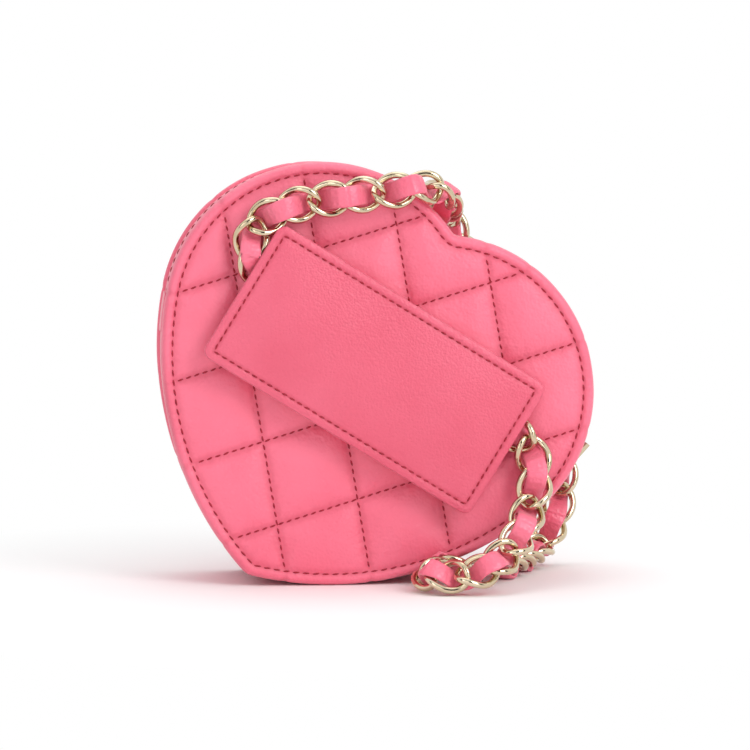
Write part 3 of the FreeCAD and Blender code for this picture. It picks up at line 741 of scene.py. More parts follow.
@dataclass
class Quilt:
    """Filled skin between the perimeter stitches, the same for both faces: low pillows between sewn lines.

    The skin is cut as a flat net whose edges follow every line of stitches. It is then filled as cloth: held
    along the stitches and pushed out by the wadding, a little larger than its frame, so that it puckers.
    """

    rim_width: float = 3.0
    valley: float = 17.75
    edge_rise: float = 0.42
    pillow: float = 1.3
    line_start: float = -52.0
    line_step: float = 33.4
    slope: float = 16.7 / 14.6
    ease: float = 0.008
    push: float = 3.2
    frames: int = 22
    half_span: float = 64.0
    half_grid: float = 62.0
    grid: float = 1.15
    spacing: float = 0.55
    beside_line: Row = (-1.7, -0.75, 0.75, 1.7)
    beside_border: Row = (0.8, 1.7, 2.8)
    stations: Array = field(init=False)
    border: Array = field(init=False)
    lines: list[Array] = field(init=False)
    points: Array = field(init=False)
    seams: Array = field(init=False)
    triangles: Faces = field(init=False)
    ring: list[int] = field(init=False)

    def __post_init__(self) -> None:
        """Cut the net and fill it."""
        self.stations = HEART.samples(self.spacing)
        self.border = HEART.ring(self.stations, self.rim_width)
        self.lines = self.quilt_lines()
        plan, held = self.cut()
        heights, self.seams = self.height(plan)
        self.points = self.fill(level(plan, heights), held)

    @property
    def stretch(self) -> float:
        """Length of a quilting line for each millimetre across."""
        return math.sqrt(1 + self.slope ** 2)

    def line_gap(self, points: Array) -> tuple[Array, Array]:
        """Distance to the nearest quilting line of each of the two families.

        Args:
            points: rows of x and y.

        Returns:
            Distances to the lines that rise to the right, and to those that fall.
        """
        gaps = []
        for sign in (1, -1):
            phase = (points[:, 1] - sign * self.slope * points[:, 0] - self.line_start) / self.line_step
            gaps.append(np.abs(phase - np.round(phase)) * self.line_step / self.stretch)
        return gaps[0], gaps[1]

    def quilt_lines(self) -> list[Array]:
        """Stitched lines inside the border.

        Returns:
            Rows of points about 1 mm apart.
        """
        lines = []
        clear, fewest = 0.45, 3
        x = np.arange(-self.half_span, self.half_span, 1.0 / self.stretch)
        for sign in (1, -1):
            for number in range(-3, 8):
                points = np.stack([x, self.line_start + number * self.line_step + sign * self.slope * x], 1)
                keep = inside(points, self.border) & (nearest(points, self.border) > clear)
                runs = np.split(np.arange(len(x)), np.where(np.diff(keep.astype(int)) != 0)[0] + 1)
                lines += [points[run] for run in runs if keep[run[0]] and len(run) > fewest]
        return lines

    def inner(self, points: Array, gap: float) -> Array:
        """Those points that lie inside the border by more than a gap."""
        return points[inside(points, self.border) & (nearest(points, self.border) > gap)]

    def cut(self) -> tuple[Array, Array]:
        """Cut the flat net.

        Returns:
            Its points, and the numbers of those that the stitches hold.
        """
        parts = [self.border] + self.lines
        edges, sewn = [], 0
        for part in parts:
            count = len(part)
            last = count if part is self.border else count - 1
            edges += [(sewn + i, sewn + (i + 1) % count) for i in range(last)]
            sewn += count
        row_clear, line_clear, border_clear, row_height = 0.7, 2.4, 3.4, 0.866
        parts += [HEART.ring(self.stations, self.rim_width + gap)[::2] for gap in self.beside_border]
        for line in self.lines:
            way = unit(line[-1] - line[0])
            aside = np.array([-way[1], way[0]])
            parts += [self.inner(line + aside * gap, row_clear) for gap in self.beside_line]
        span = np.arange(-self.half_grid, self.half_grid, self.grid)
        x, y = np.meshgrid(span, span * row_height)
        x = x + (np.arange(len(span)) % 2)[:, None] * self.grid / 2
        cells = np.stack([x.ravel(), y.ravel()], 1)
        parts.append(self.inner(cells[np.minimum(*self.line_gap(cells)) > line_clear], border_clear))
        points, self.triangles, sources = net(np.vstack(parts), edges)
        spot = {source: number for number, given in enumerate(sources) for source in given}
        self.ring = [spot[number] for number in range(len(self.border))]
        held = sorted({spot[number] for number in range(sewn)})
        return points, np.array(held)

    def height(self, points: Array) -> tuple[Array, Array]:
        """Height of the skin before it is filled.

        Args:
            points: places inside the perimeter stitch.

        Returns:
            Z of the skin on the back face, and how much shade is painted at each place, most on the stitched
            lines.
        """
        dome_width, dome_power = 8.0, 3.2
        rim_width, rim_power = 7.0, 2.2
        crossing, seam_width, seam_shade_strength = 1.1, 1.1, 0.5
        sag, sag_length = 0.12, 13
        pucker, pucker_gap, pucker_width, pucker_pitch, pucker_drift = 0.05, 1.4, 1.0, 4.4, 2.5
        first, second = self.line_gap(points)
        edge = nearest(points, self.border)
        close = -crossing * np.log(np.exp(-first / crossing) + np.exp(-second / crossing))
        dome = 1 - (1 - np.clip(close / dome_width, 0, 1)) ** dome_power
        rim = 1 - (1 - np.clip(edge / rim_width, 0, 1)) ** rim_power
        lift = self.edge_rise / self.pillow
        rise = np.minimum(dome, lift + (1 - lift) * rim) * self.pillow
        rise += sag * smooth_noise(points, sag_length, 3) * np.minimum(dome, rim)
        for gap, sign in ((first, 1), (second, -1)):
            run = (points[:, 0] + sign * self.slope * points[:, 1]) / self.stretch
            ripple = np.cos(FULL_TURN * run / pucker_pitch + pucker_drift * smooth_noise(points, 21, 8))
            rise += pucker * bell(gap - pucker_gap, pucker_width) * ripple
        # Painted shade, strongest on the quilting lines and the perimeter stitch.
        seam = bell(np.minimum(np.minimum(first, second), edge), seam_width)
        return self.valley + rise, seam * seam_shade_strength

    def fill(self, points: Array, held: Array) -> Array:
        """Push the skin out as cloth that its stitches hold.

        Args:
            points: points of the net at their first heights.
            held: numbers of the points on the stitches.

        Returns:
            The points of the filled skin.
        """
        metres_a_mm = 0.01
        bpy.ops.object.select_all(action="DESELECT")
        blank = add_mesh("quilt_blank", points * metres_a_mm, self.triangles, None)
        blank.select_set(True)
        bpy.context.view_layer.objects.active = blank
        blank.vertex_groups.new(name="stitched").add([int(number) for number in held], 1.0, "REPLACE")
        cloth = blank.modifiers.new("filling", "CLOTH")
        cloth.collision_settings.use_collision = False
        rules = cloth.settings
        rules.quality = 6
        rules.mass = 0.3
        rules.tension_stiffness = rules.compression_stiffness = 18
        rules.shear_stiffness = 9
        rules.bending_stiffness = 1.0
        rules.air_damping = 4
        rules.vertex_group_mass = "stitched"
        rules.shrink_min = -self.ease
        rules.use_pressure = True
        rules.uniform_pressure_force = self.push
        rules.effector_weights.gravity = 0
        smoother = blank.modifiers.new("smoothing", "SMOOTH")
        smoother.iterations = 6
        smoother.vertex_group = "stitched"
        smoother.invert_vertex_group = True
        scene = bpy.context.scene
        cloth.point_cache.frame_end = self.frames
        for number in range(1, self.frames + 1):
            scene.frame_set(number)
        bpy.ops.object.modifier_apply(modifier="filling")
        bpy.ops.object.modifier_apply(modifier="smoothing")
        scene.frame_set(1)
        filled = np.array([tuple(vertex.co) for vertex in blank.data.vertices]) / metres_a_mm
        bpy.data.objects.remove(blank)
        moved = filled[:, 2] - points[:, 2]
        LOG.info("quilt filled: skin moved %.2f to %.2f mm", moved.min(), moved.max())
        return filled


@dataclass
class QuiltedFace:
    """Skin of one face: the filled quilt and the edge that turns over the rim, with all its stitches."""

    side: Side
    quilt: Quilt
    finishes: Finishes
    underside: float = 17.15
    core_half: Row = (29.0, 16.0)
    core_drop: float = 4.0
    core_height: float = 18.97
    core_clear: float = 1.5
    core_slope: float = 0.5
    stitch_pitch: float = 2.6
    quilt_pitch: float = 2.25
    rim: tuple[Row, ...] = (
        (2.6, 18.44), (2.15, 18.68), (1.7, 18.8), (1.2, 18.7), (0.75, 18.38), (0.36, 17.8), (0.1, 17.0),
        (0.0, 16.2), (0.08, 15.4), (0.45, 14.8), (1.1, 14.5), (4.05, 14.5),
    )

    def build(self) -> None:
        """Make the skin and its stitches, and tie them to the face's body."""
        self.build_skin()
        self.build_stitches()

    def under_core(self, points: Array) -> Array:
        """Press the skin flat under the arm pad's core.

        Args:
            points: points of the filled quilt.

        Returns:
            The points, none of them above the core's underside.
        """
        reach = np.maximum(np.abs(points[:, 0]) - self.core_half[0],
                           np.abs(points[:, 1] + self.core_drop) - self.core_half[1])
        ceiling = self.core_height + np.clip(reach - self.core_clear, 0, None) * self.core_slope
        return level(points[:, :2], np.minimum(points[:, 2], ceiling))

    def build_skin(self) -> None:
        """Make the quilt and the turned edge as one closed skin."""
        shown_above, shown_within, turned_within = 14.9, 3.2, 1.2
        crease_width, crease_depth, crease_shade = 0.75, 0.16, 0.3
        pucker, pucker_inset, pucker_width = 0.05, 2.4, 0.6
        seam_width, seam_shade = 0.6, 0.5
        sway, sway_length = 0.07, 17
        quilt, stations = self.quilt, self.quilt.stations
        points = [self.under_core(quilt.points) if self.side is Side.BACK else quilt.points]
        faces, total, last = [list(face) for face in quilt.triangles], len(quilt.points), quilt.ring
        seams = [quilt.seams]
        middle = HEART.ring(stations, 2.0)
        crease = bell(np.minimum(*quilt.line_gap(middle)), crease_width)
        run = np.arange(len(stations)) * quilt.spacing
        beat = np.cos(FULL_TURN * run / self.stitch_pitch)
        for inset, z in (*self.rim, (quilt.rim_width, self.underside)):
            shown = 1.0 if z > shown_above and inset < shown_within else 0.0
            sink = crease * crease_depth * shown
            gather = pucker * bell(inset - pucker_inset, pucker_width) * beat
            wave = sway * smooth_noise(middle, sway_length, 5) * shown
            ring = HEART.ring(stations, inset + sink * (inset < turned_within))
            points.append(level(ring, z - sink + gather + wave))
            # Painted shade along the perimeter stitch and on the rim where the quilting lines cross it.
            seam = seam_shade * bell(quilt.rim_width - inset, seam_width)
            seams.append(np.maximum(seam, crease * crease_shade) * shown)
            numbers = range(total, total + len(ring))
            faces += band(last, numbers)
            last, total = numbers, total + len(ring)
        faces.append(list(reversed(last)))
        word = self.side.word
        skin = add_mesh(f"{word}_skin", STANCE.place(np.vstack(points) * self.side.flip), faces,
                        self.finishes.leather)
        store_painted_seam_shade(skin, np.concatenate(seams))
        settle(skin, self.side.body, "leather", f"{word}_panel", f"{word}_rim")

    def build_stitches(self) -> None:
        """Sew the perimeter and the quilting lines."""
        quilt, flip = self.quilt, self.side.flip
        edge_lift, line_lift = 0.06, 0.04
        up = np.array([[0.0, 0.0, self.side.value]])
        edge = StitchRow(pitch=self.stitch_pitch)
        ring = quilt.points[quilt.ring] + np.array([0, 0, edge_lift])
        edge.along(ring * flip, up.repeat(len(ring), 0), closed=True)
        rows = StitchRow(pitch=self.quilt_pitch)
        for line in quilt.lines:
            heights, _ = quilt.height(line)
            rows.along(level(line, heights + line_lift) * flip, up.repeat(len(line), 0))
        for row, word in ((edge, "edge"), (rows, "quilt")):
            piece = row.build(f"{self.side.word}_{word}_stitches", self.finishes.thread)
            settle(piece, self.side.body, "leather")


@dataclass
class SideWall:
    """Leather side wall, zip tapes, end tabs and linings: closed profiles of inset and Z, swept round."""

    finishes: Finishes
    zip_drop: float = 15.0
    overlap: float = 0.5
    tab_height: float = 9.0
    beyond: float = 200.0
    stitch_inset: float = 0.92
    stitch_z: float = 6.3
    strip: tuple[Row, ...] = (
        (1.0, 14.5), (0.85, 12.0), (0.8, 9.5), (0.88, 7.0), (0.95, 5.6), (1.15, 4.75), (1.55, 4.5),
        (2.0, 4.7), (2.15, 5.4), (2.18, 9.5), (2.18, 14.5),
    )
    tape: tuple[Row, ...] = (
        (2.25, 10.8), (2.22, 5.0), (2.2, 3.2), (2.05, 2.5), (2.0, 2.1), (2.2, 1.8), (2.6, 1.85), (2.8, 2.2),
        (2.7, 3.2), (2.65, 10.8),
    )
    cloth: tuple[Row, ...] = (
        (2.75, 14.4), (2.8, 9.5), (2.78, 4.7), (3.1, 4.5), (3.2, 5.0), (3.22, 9.5), (3.18, 14.4),
    )
    lower: tuple[Row, ...] = (
        (1.0, 14.5), (0.8, 11), (0.62, 7), (0.55, 0.1), (0.62, -7), (0.8, -11), (1.0, -14.2), (2.15, -14.2),
        (2.1, 0.1), (2.15, 14.5),
    )
    lower_cloth: tuple[Row, ...] = (
        (2.25, 14.4), (2.22, 0.1), (2.25, -14.1), (2.65, -14.1), (2.75, 0.1), (2.65, 14.4),
    )
    patch: tuple[Row, ...] = (
        (0.5, 6.4), (0.22, 6.0), (0.12, 4.5), (0.1, 0), (0.12, -4.5), (0.22, -6.0), (0.5, -6.4), (0.52, 0),
    )

    @staticmethod
    def stations(low: float, high: float, step: float = 0.9, inset: float = 1.6) -> list[Array]:
        """Stretches of the outline between two heights, joined across the tip where they meet there.

        Args:
            low: lower height.
            high: upper height.
            step: spacing of the stations.
            inset: ring on which the heights are measured.

        Returns:
            The stations of each stretch.
        """
        rows = HEART.samples(step)
        y = HEART.ring(rows, inset)[:, 1]
        keep = (y >= low) & (y <= high)
        start = -int(np.argmin(keep))
        rows, keep = np.roll(rows, start, 0), np.roll(keep, start)
        parts = np.split(np.arange(len(rows)), np.where(np.diff(keep.astype(int)) != 0)[0] + 1)
        return [rows[part] for part in parts if keep[part[0]]]

    @staticmethod
    def sweep(name: str, stretches: list[Array], profile: tuple[Row, ...], material: Material, sign: int = 1,
              trim: float | None = None) -> Piece:
        """Sweep a closed profile along stretches of the outline.

        Args:
            name: name of the piece.
            stretches: stations of each stretch.
            profile: closed loop of inset and z.
            material: finish of the piece.
            sign: -1 mirrors the profile to the front.
            trim: height at which the stretches end, if they are trimmed level.

        Returns:
            The piece.
        """
        points, faces, total = [], [], 0
        for rows in stretches:
            count = len(rows)
            starts = [total + count * number for number in range(len(profile))]
            for inset, z in profile:
                ring = HEART.ring(rows, inset)
                for end, inner in ((0, 1), (-1, -2)) if trim is not None else ():
                    share = (trim - ring[inner][1]) / (ring[end][1] - ring[inner][1])
                    ring[end] = ring[inner] + (ring[end] - ring[inner]) * share
                points.append(level(ring, z * sign))
            for here, there in zip(starts, starts[1:] + starts[:1]):
                faces += band(range(here, here + count), range(there, there + count), closed=False)
            faces += [starts, [start + count - 1 for start in starts]]
            total += count * len(profile)
        return add_mesh(name, STANCE.place(np.vstack(points)), faces, material)

    def sew(self, side: Side, stretches: list[Array]) -> None:
        """Sew one strip to its tape.

        Args:
            side: face that the strip belongs to.
            stretches: stations of the strip.
        """
        thread = StitchRow()
        for rows in stretches:
            path = level(HEART.ring(rows, self.stitch_inset), self.stitch_z * side.value)
            outward = np.stack([np.cos(rows[:, 3]), np.sin(rows[:, 3])], 1) * rows[:, 4:]
            thread.along(path[2:-2], level(outward, 0.0)[2:-2])
        settle(thread.build(f"{side.word}_side_stitches", self.finishes.thread), side.body, "leather")

    def build(self) -> None:
        """Make the strips along the zip, the lower wall and the tabs over the zip's ends."""
        ends, made_of = -self.zip_drop, self.finishes
        upper = self.stations(ends - self.overlap, self.beyond)
        lower = self.stations(-self.beyond, ends + self.overlap)
        for side in Side:
            for word, profile, material, slot, stands_for in (
                ("side_strip", self.strip, made_of.leather, "leather", "gusset"),
                ("tape", self.tape, made_of.tape, "zip_tape", "zip_tape"),
                ("wall_cloth", self.cloth, made_of.lining, "lining_fabric", "gusset_lining"),
            ):
                piece = self.sweep(f"{side.word}_{word}", upper, profile, material, side.value, ends)
                settle(piece, side.body, slot, f"{side.word}_{stands_for}")
            self.sew(side, upper)
        for name, profile, material, slot, stands_for in (
            ("lower_wall", self.lower, made_of.leather, "leather", "lower_gusset"),
            ("lower_wall_cloth", self.lower_cloth, made_of.lining, "lining_fabric", "lower_gusset_lining"),
        ):
            piece = self.sweep(name, lower, profile, material, trim=ends)
            settle_between(piece, stands_for)
        tabs = self.stations(ends - self.overlap - self.tab_height, ends + self.overlap, 0.6)
        piece = self.sweep("zip_end_patches", tabs, self.patch, made_of.leather)
        settle(piece, "back_half", "leather", "zip_end_tabs")


@dataclass
class FaceLining:
    """Lining cloth inside a face, a little slack."""

    side: Side
    finishes: Finishes
    inset: float = 4.25
    outer: float = 14.75
    inner: float = 14.32
    slack: float = 0.12
    spacing: float = 1.6
    centre: Row = (0.0, -6.0)
    shrink: Row = (1.0, 0.88, 0.72, 0.55, 0.38, 0.2)

    def build(self) -> None:
        """Make the cloth as a thin closed sheet with shallow waves."""
        border = HEART.ring(HEART.samples(self.spacing), self.inset)
        centre, count = np.array(self.centre), len(border)
        points, faces, starts = [], [], []
        for z in (self.outer, self.inner):
            for number, share in enumerate(self.shrink):
                ring = centre + (border - centre) * share
                wave = self.slack * smooth_noise(ring, 26, 12) * (number > 0)
                starts.append(count * len(points))
                points.append(level(ring, z - np.abs(wave)))
                if number:
                    faces += band(*(range(start, start + count) for start in starts[-2:]))
            faces.append(list(range(starts[-1], starts[-1] + count)))
        far = starts[len(self.shrink)]
        faces += band(range(count), range(far, far + count))
        word, placed = self.side.word, STANCE.place(np.vstack(points) * self.side.flip)
        piece = add_mesh(f"{word}_lining_cloth", placed, faces, self.finishes.lining)
        settle(piece, self.side.body, "lining_fabric", f"{word}_lining")


@dataclass
class ArmPad:
    """Stitched leather pad on the back: turned edges, a stitched groove and a low crown."""

    finishes: Finishes
    half_width: float = 41.0
    half_height: float = 20.0
    corner: float = 2.5
    drop: float = 4.0
    base: float = 23.62
    top: float = 25.5
    groove: float = 2.4
    flat: float = 4.8
    bow: float = 1.15
    long_sag: float = 0.45
    short_sag: float = 0.1
    grid: float = 1.3
    grid_clear: float = 0.7
    corner_turns: int = 7
    tightest: float = 0.25
    stitch_pitch: float = 2.3
    stitch_depth: float = 0.24

    def ring(self, inset: float, step: float = 0.7) -> Array:
        """Rounded rectangle, with the same stations at every inset.

        Args:
            inset: distance from the pad's edge.
            step: spacing along the straight sides.

        Returns:
            Rows of x and y about the pad's middle.
        """
        turns, corners = self.corner_turns, []
        radius = max(self.corner - inset, self.tightest)
        for quarter, (sx, sy) in enumerate(((1, 1), (-1, 1), (-1, -1), (1, -1))):
            cx = sx * (self.half_width - inset - radius)
            cy = sy * (self.half_height - inset - radius)
            for angle in quarter * math.pi / 2 + np.linspace(0, math.pi / 2, turns):
                corners.append(np.array([cx + radius * math.cos(angle), cy + radius * math.sin(angle)]))
        out = []
        for number, here in enumerate(corners):
            ahead = corners[(number + 1) % len(corners)]
            quarter, turn = divmod(number, turns)
            side = (self.half_width, self.half_height)[quarter % 2]
            count = round(2 * side / step) if turn == turns - 1 else 1
            out += [here + (ahead - here) * k / count for k in range(count)]
        return np.array(out)

    def crown(self, plan: Array) -> Array:
        """Rise of the pad's middle over its stitched edge: a low bow that sags a little here and there.

        Args:
            plan: rows of x and y about the pad's middle.

        Returns:
            One height a point.
        """
        x, y = plan[:, 0] / (self.half_width - self.flat), plan[:, 1] / (self.half_height - self.flat)
        swell = np.clip(1 - x ** 6, 0, 1) * np.clip(1 - y ** 2, 0, 1)
        sag = self.long_sag * smooth_noise(plan, 46, 4) + self.short_sag * smooth_noise(plan, 19, 9)
        return (self.bow + sag) * swell

    def middle(self) -> tuple[Array, Faces]:
        """Net of the pad's middle.

        Returns:
            Its points after those of its edge ring, and its triangles, which count from the edge ring on.
        """
        edge = self.ring(self.flat)
        span = np.arange(-self.half_width, self.half_width, self.grid)
        x, y = np.meshgrid(span, span)
        reach = np.maximum(np.abs(x) - self.half_width, np.abs(y) - self.half_height)
        keep = reach < -self.flat - self.grid_clear
        border = [(number, (number + 1) % len(edge)) for number in range(len(edge))]
        points, triangles, _ = net(np.vstack([edge, np.stack([x[keep], y[keep]], 1)]), border)
        return points[len(edge):], triangles

    @staticmethod
    def waver(plan: Array) -> Array:
        """Slight unevenness of the hand-turned edge."""
        return 0.04 * smooth_noise(plan, 11, 21)

    def build(self) -> None:
        """Make the pad with its stitches."""
        base, top = self.base, self.top
        brow, seam_width, seam_shade = top + 0.1, 0.45, 0.8
        profile = (
            (0.9, base), (0.25, base + 0.25), (0.0, base + 0.85), (0.1, base + 1.5), (0.45, top - 0.32),
            (0.95, top - 0.12), (1.5, top - 0.06), (1.95, top - 0.12), (self.groove, top - 0.3),
            (2.85, top - 0.12), (3.5, top), (self.flat, brow),
        )
        shift = np.array([0, self.drop])
        points, faces, seams, start = [], [], [], 0
        for number, (inset, z) in enumerate(profile):
            ring = self.ring(inset)
            count, start = len(ring), number * len(ring)
            points.append(level(ring - shift, z + self.waver(ring)))
            # Painted shade in the stitched groove round the pad.
            seams.append(np.full(count, seam_shade * bell(inset - self.groove, seam_width)))
            if number:
                faces += band(range(start - count, start), range(start, start + count))
        plan, triangles = self.middle()
        points.append(level(plan - shift, brow + self.waver(plan) + self.crown(plan)))
        seams.append(np.zeros(len(plan)))
        faces += [list(range(count))] + [[start + index for index in face] for face in triangles]
        pad = add_mesh("arm_pad", STANCE.place(np.vstack(points)), faces, self.finishes.pad)
        store_painted_seam_shade(pad, np.concatenate(seams))
        settle(pad, "back_half", "pad_leather", "arm_pad_face", "arm_pad_backing")
        thread = StitchRow(pitch=self.stitch_pitch)
        path = level(self.ring(self.groove) - shift, top - self.stitch_depth)
        thread.along(path, np.tile(np.array([0, 0, 1.0]), (len(path), 1)), closed=True)
        settle(thread.build("arm_pad_stitches", self.finishes.thread), "back_half", "pad_leather")


@dataclass
class LacePath:
    """Middle line of the lacing, over one link and under the next. Places on it are counted in links."""

    joints: Array
    normals: Array
    rise: float
    steepness: float = 1.2

    def at(self, place: float) -> tuple[Array, Array]:
        """Find a place on the line.

        Args:
            place: links from the chain's start.

        Returns:
            The point there, and the way across the chain.
        """
        links = len(self.joints) - 1
        number = int(np.clip(math.floor(place), 0, links - 1))
        share = place - number
        here, there = self.joints[number:number + 2]
        point = here * (1 - share) + there * share
        normal = unit(self.normals[number] * (1 - share) + self.normals[number + 1] * share)
        across = unit(np.cross(normal, there - here))
        corner = int(np.clip(round(place), 1, links - 1))
        t = place - corner + 0.5
        if 0 <= t <= 1:
            before, turn, after = self.joints[corner - 1:corner + 2]
            start, end = (before + turn) / 2, (turn + after) / 2
            curve = start * (1 - t) ** 2 + turn * 2 * t * (1 - t) + end * t ** 2
            point = point + across * ((curve - point) @ across)
        swing = min(1.0, place, links - place) * self.rise
        wave = math.tanh(-self.steepness * math.cos(math.pi * place)) / math.tanh(self.steepness)
        return point + normal * swing * wave, across


@dataclass
class LacedChain:
    """Curb links of round wire and the leather laced through them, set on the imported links."""

    finishes: Finishes
    wire: float = 1.8
    pitch: float = 8.48
    half_long: float = 5.54
    half_wide: float = 4.05
    twist_deg: float = 42.0
    lace_half: float = 2.75
    lace_thick: float = 0.55
    lace_sides: int = 14
    lace_steps: int = 20
    lace_squareness: Row = (0.45, 0.8)
    lace_pinch: float = 0.06
    lace_crease: float = 0.16
    tail: float = 0.18
    rise: float = 3.0
    runs: tuple[str, ...] = ("upper", "wrap", "lower")

    @staticmethod
    def islands(name: str) -> list[Array]:
        """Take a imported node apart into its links.

        Args:
            name: name of the node.

        Returns:
            Triangles of each link, in millimetres.
        """
        copy = bmesh.new()
        copy.from_mesh(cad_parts[name].data)
        bmesh.ops.remove_doubles(copy, verts=copy.verts, dist=1e-6)
        seen, found = set(), []
        for face in copy.faces:
            if face.index in seen:
                continue
            stack, group = [face], []
            seen.add(face.index)
            while stack:
                here = stack.pop()
                group.append([[axis / MM for axis in vertex.co] for vertex in here.verts[:3]])
                for other in (other for edge in here.edges for other in edge.link_faces):
                    if other.index not in seen:
                        seen.add(other.index)
                        stack.append(other)
            found.append(np.array(group))
        copy.free()
        return found

    @staticmethod
    def pose(triangles: Array) -> tuple[Array, Array]:
        """Find how a link lies, from the spread of its surface.

        Args:
            triangles: triangles of the link.

        Returns:
            Its centre, and its axes along, across and normal.
        """
        first, second, third = triangles[:, 0], triangles[:, 1], triangles[:, 2]
        area = np.linalg.norm(np.cross(second - first, third - first), axis=1)
        middle = triangles.mean(1)
        centre = (middle * area[:, None]).sum(0) / area.sum()
        _, axes = np.linalg.eigh(((middle - centre) * area[:, None]).T @ (middle - centre))
        return centre, axes[:, ::-1].T

    def ordered(self) -> list[list[tuple[Array, Array]]]:
        """Put the links in order along the chain, with matching directions from link to link.

        Returns:
            Centre and axes of each link, for each run.
        """
        low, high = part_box("left_chain_loop")
        last = np.array((low + high) / 2) / MM
        facing = np.array([0.0, -1.0, 0.0])
        result = []
        for run in self.runs:
            left = [self.pose(group) for group in self.islands(f"chain_{run}_links")]
            order = []
            while left:
                pick = min(range(len(left)), key=lambda k: np.linalg.norm(left[k][0] - last))
                centre, axes = left.pop(pick)
                along = axes[0] * math.copysign(1, axes[0] @ (centre - last))
                normal = axes[2] * math.copysign(1, axes[2] @ facing)
                order.append((centre, np.array([along, np.cross(normal, along), normal])))
                last, facing = centre, normal
            result.append(order)
        return result

    def wire_middle(self, turn: Array) -> Array:
        """Middle line of a link's wire: an oval whose two ends are twisted opposite ways.

        Args:
            turn: angles round the link.

        Returns:
            One point an angle.
        """
        twist = math.radians(self.twist_deg) * np.cos(turn)
        wide = self.half_wide * np.sin(turn)
        return np.stack([self.half_long * np.cos(turn), wide * np.cos(twist), wide * np.sin(twist)], 1)

    def link_shape(self) -> tuple[Array, Faces]:
        """Reshape a torus into one link.

        Returns:
            Its points and its faces.
        """
        bpy.ops.object.select_all(action="DESELECT")
        bpy.ops.mesh.primitive_torus_add(major_segments=44, minor_segments=10, major_radius=self.half_wide,
                                         minor_radius=self.wire / 2)
        torus, faces = take_shape()
        turn = np.arctan2(torus[:, 1], torus[:, 0])
        outward, up = np.hypot(torus[:, 0], torus[:, 1]) - self.half_wide, torus[:, 2]
        middle = self.wire_middle(turn)
        along = unit(self.wire_middle(turn + 0.01) - self.wire_middle(turn - 0.01))
        out = middle * np.array([1.0, 1.0, 0.0]) + 1e-6
        out = unit(out - along * (out * along).sum(1)[:, None])
        return middle + out * outward[:, None] + np.cross(out, along) * up[:, None], faces

    def build_links(self, orders: list) -> dict[str, Piece]:
        """Copy the link to every packed place.

        Args:
            orders: centre and axes of each link, for each run.

        Returns:
            The links of each run as one piece.
        """
        shape, faces = self.link_shape()
        made = {}
        for run, order in zip(self.runs, orders):
            points = np.vstack([centre + shape @ axes for centre, axes in order])
            made[run] = add_mesh(f"chain_{run}", points * MM, copies(faces, len(shape), len(order)),
                                 self.finishes.gold)
        return made

    def lace_path(self, links: list) -> LacePath:
        """Lay the lacing's line through the joints between the links.

        Args:
            links: centre and axes of each link of the whole chain.

        Returns:
            The line.
        """
        reach = self.pitch / 2
        starts = np.array([centre - axes[0] * reach for centre, axes in links])
        ends = np.array([centre + axes[0] * reach for centre, axes in links])
        normals = np.array([axes[2] for _, axes in links])
        joints = np.vstack([starts[:1], (ends[:-1] + starts[1:]) / 2, ends[-1:]])
        facing = np.vstack([normals[:1], normals[:-1] + normals[1:], normals[-1:]])
        return LacePath(joints, unit(facing), self.rise)

    def build_lace(self, path: LacePath, first: float, last: float, name: str) -> Piece:
        """Make the leather lacing between two places.

        Args:
            path: its middle line.
            first: place where it starts.
            last: place where it ends.
            name: name of the piece.

        Returns:
            The lacing.
        """
        near, most = 0.04, len(path.joints) - 1
        square_wide, square_thick = self.lace_squareness
        sides = []
        for angle in FULL_TURN * np.arange(self.lace_sides) / self.lace_sides:
            cos, sin = math.cos(angle), math.sin(angle)
            sides.append((math.copysign(abs(cos) ** square_wide, cos) * self.lace_half,
                          math.copysign(abs(sin) ** square_thick, sin) * self.lace_thick))
        rings = []
        for place in np.linspace(first, last, max(2, round((last - first) * self.lace_steps)) + 1):
            here, _ = path.at(place)
            ahead, across_ahead = path.at(min(place + near, most))
            behind, across_behind = path.at(max(place - near, 0))
            along = unit(ahead - behind)
            wide = across_ahead + across_behind
            wide = unit(wide - along * (wide @ along))
            thick = np.cross(along, wide)
            pinch = 1 - self.lace_pinch * (1 - math.cos(FULL_TURN * place)) / 2
            crease = 1 + self.lace_crease * math.cos(40 * place + 4 * math.sin(2.1 * place))
            rings.append(np.array([here + wide * a * pinch + thick * b * crease for a, b in sides]))
        size = self.lace_sides
        starts = [range(number * size, (number + 1) * size) for number in range(len(rings))]
        faces = [face for here, there in zip(starts, starts[1:]) for face in band(here, there)]
        faces += [list(starts[0]), list(starts[-1])]
        return add_mesh(name, np.vstack(rings) * MM, faces, self.finishes.lace)

    def build(self) -> None:
        """Make links and lacing of the three runs; the run over the front is tied to neither half."""
        orders = self.ordered()
        links = self.build_links(orders)
        path = self.lace_path([link for order in orders for link in order])
        ends = np.cumsum([0] + [len(order) for order in orders]).astype(float)
        ends[0], ends[-1] = self.tail, ends[-1] - self.tail
        for number, run in enumerate(self.runs):
            lace = self.build_lace(path, ends[number], ends[number + 1], f"lacing_{run}")
            for piece, slot, stands_for in ((links[run], "chain_metal", f"chain_{run}_links"),
                                            (lace, "leather", f"chain_{run}_lacing")):
                if run == "wrap":
                    settle_between(piece, stands_for)
                else:
                    settle(piece, "back_half", slot, stands_for)


@dataclass
class Hardware:
    """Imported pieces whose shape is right, with their finishes."""

    finishes: Finishes

    def dress(self) -> None:
        """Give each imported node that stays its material."""
        kinds = [
            (self.finishes.gold, ("zip_teeth", "zip_stops", "slider", "pull")),
            (self.finishes.wadding, ("padding",)), (self.finishes.board, ("board",)),
            (self.finishes.lining, ("lining",)), (self.finishes.tape, ("tape",)),
        ]
        for name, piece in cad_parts.items():
            found = [material for material, words in kinds if any(word in name for word in words)]
            piece.data.materials.clear()
            piece.data.materials.append(found[0] if found else self.finishes.leather)


@dataclass(frozen=True)
class Lamp:
    """A square soft lamp that points at the bag, in metres and watts."""

    name: str
    where: Row
    power: float
    size: float


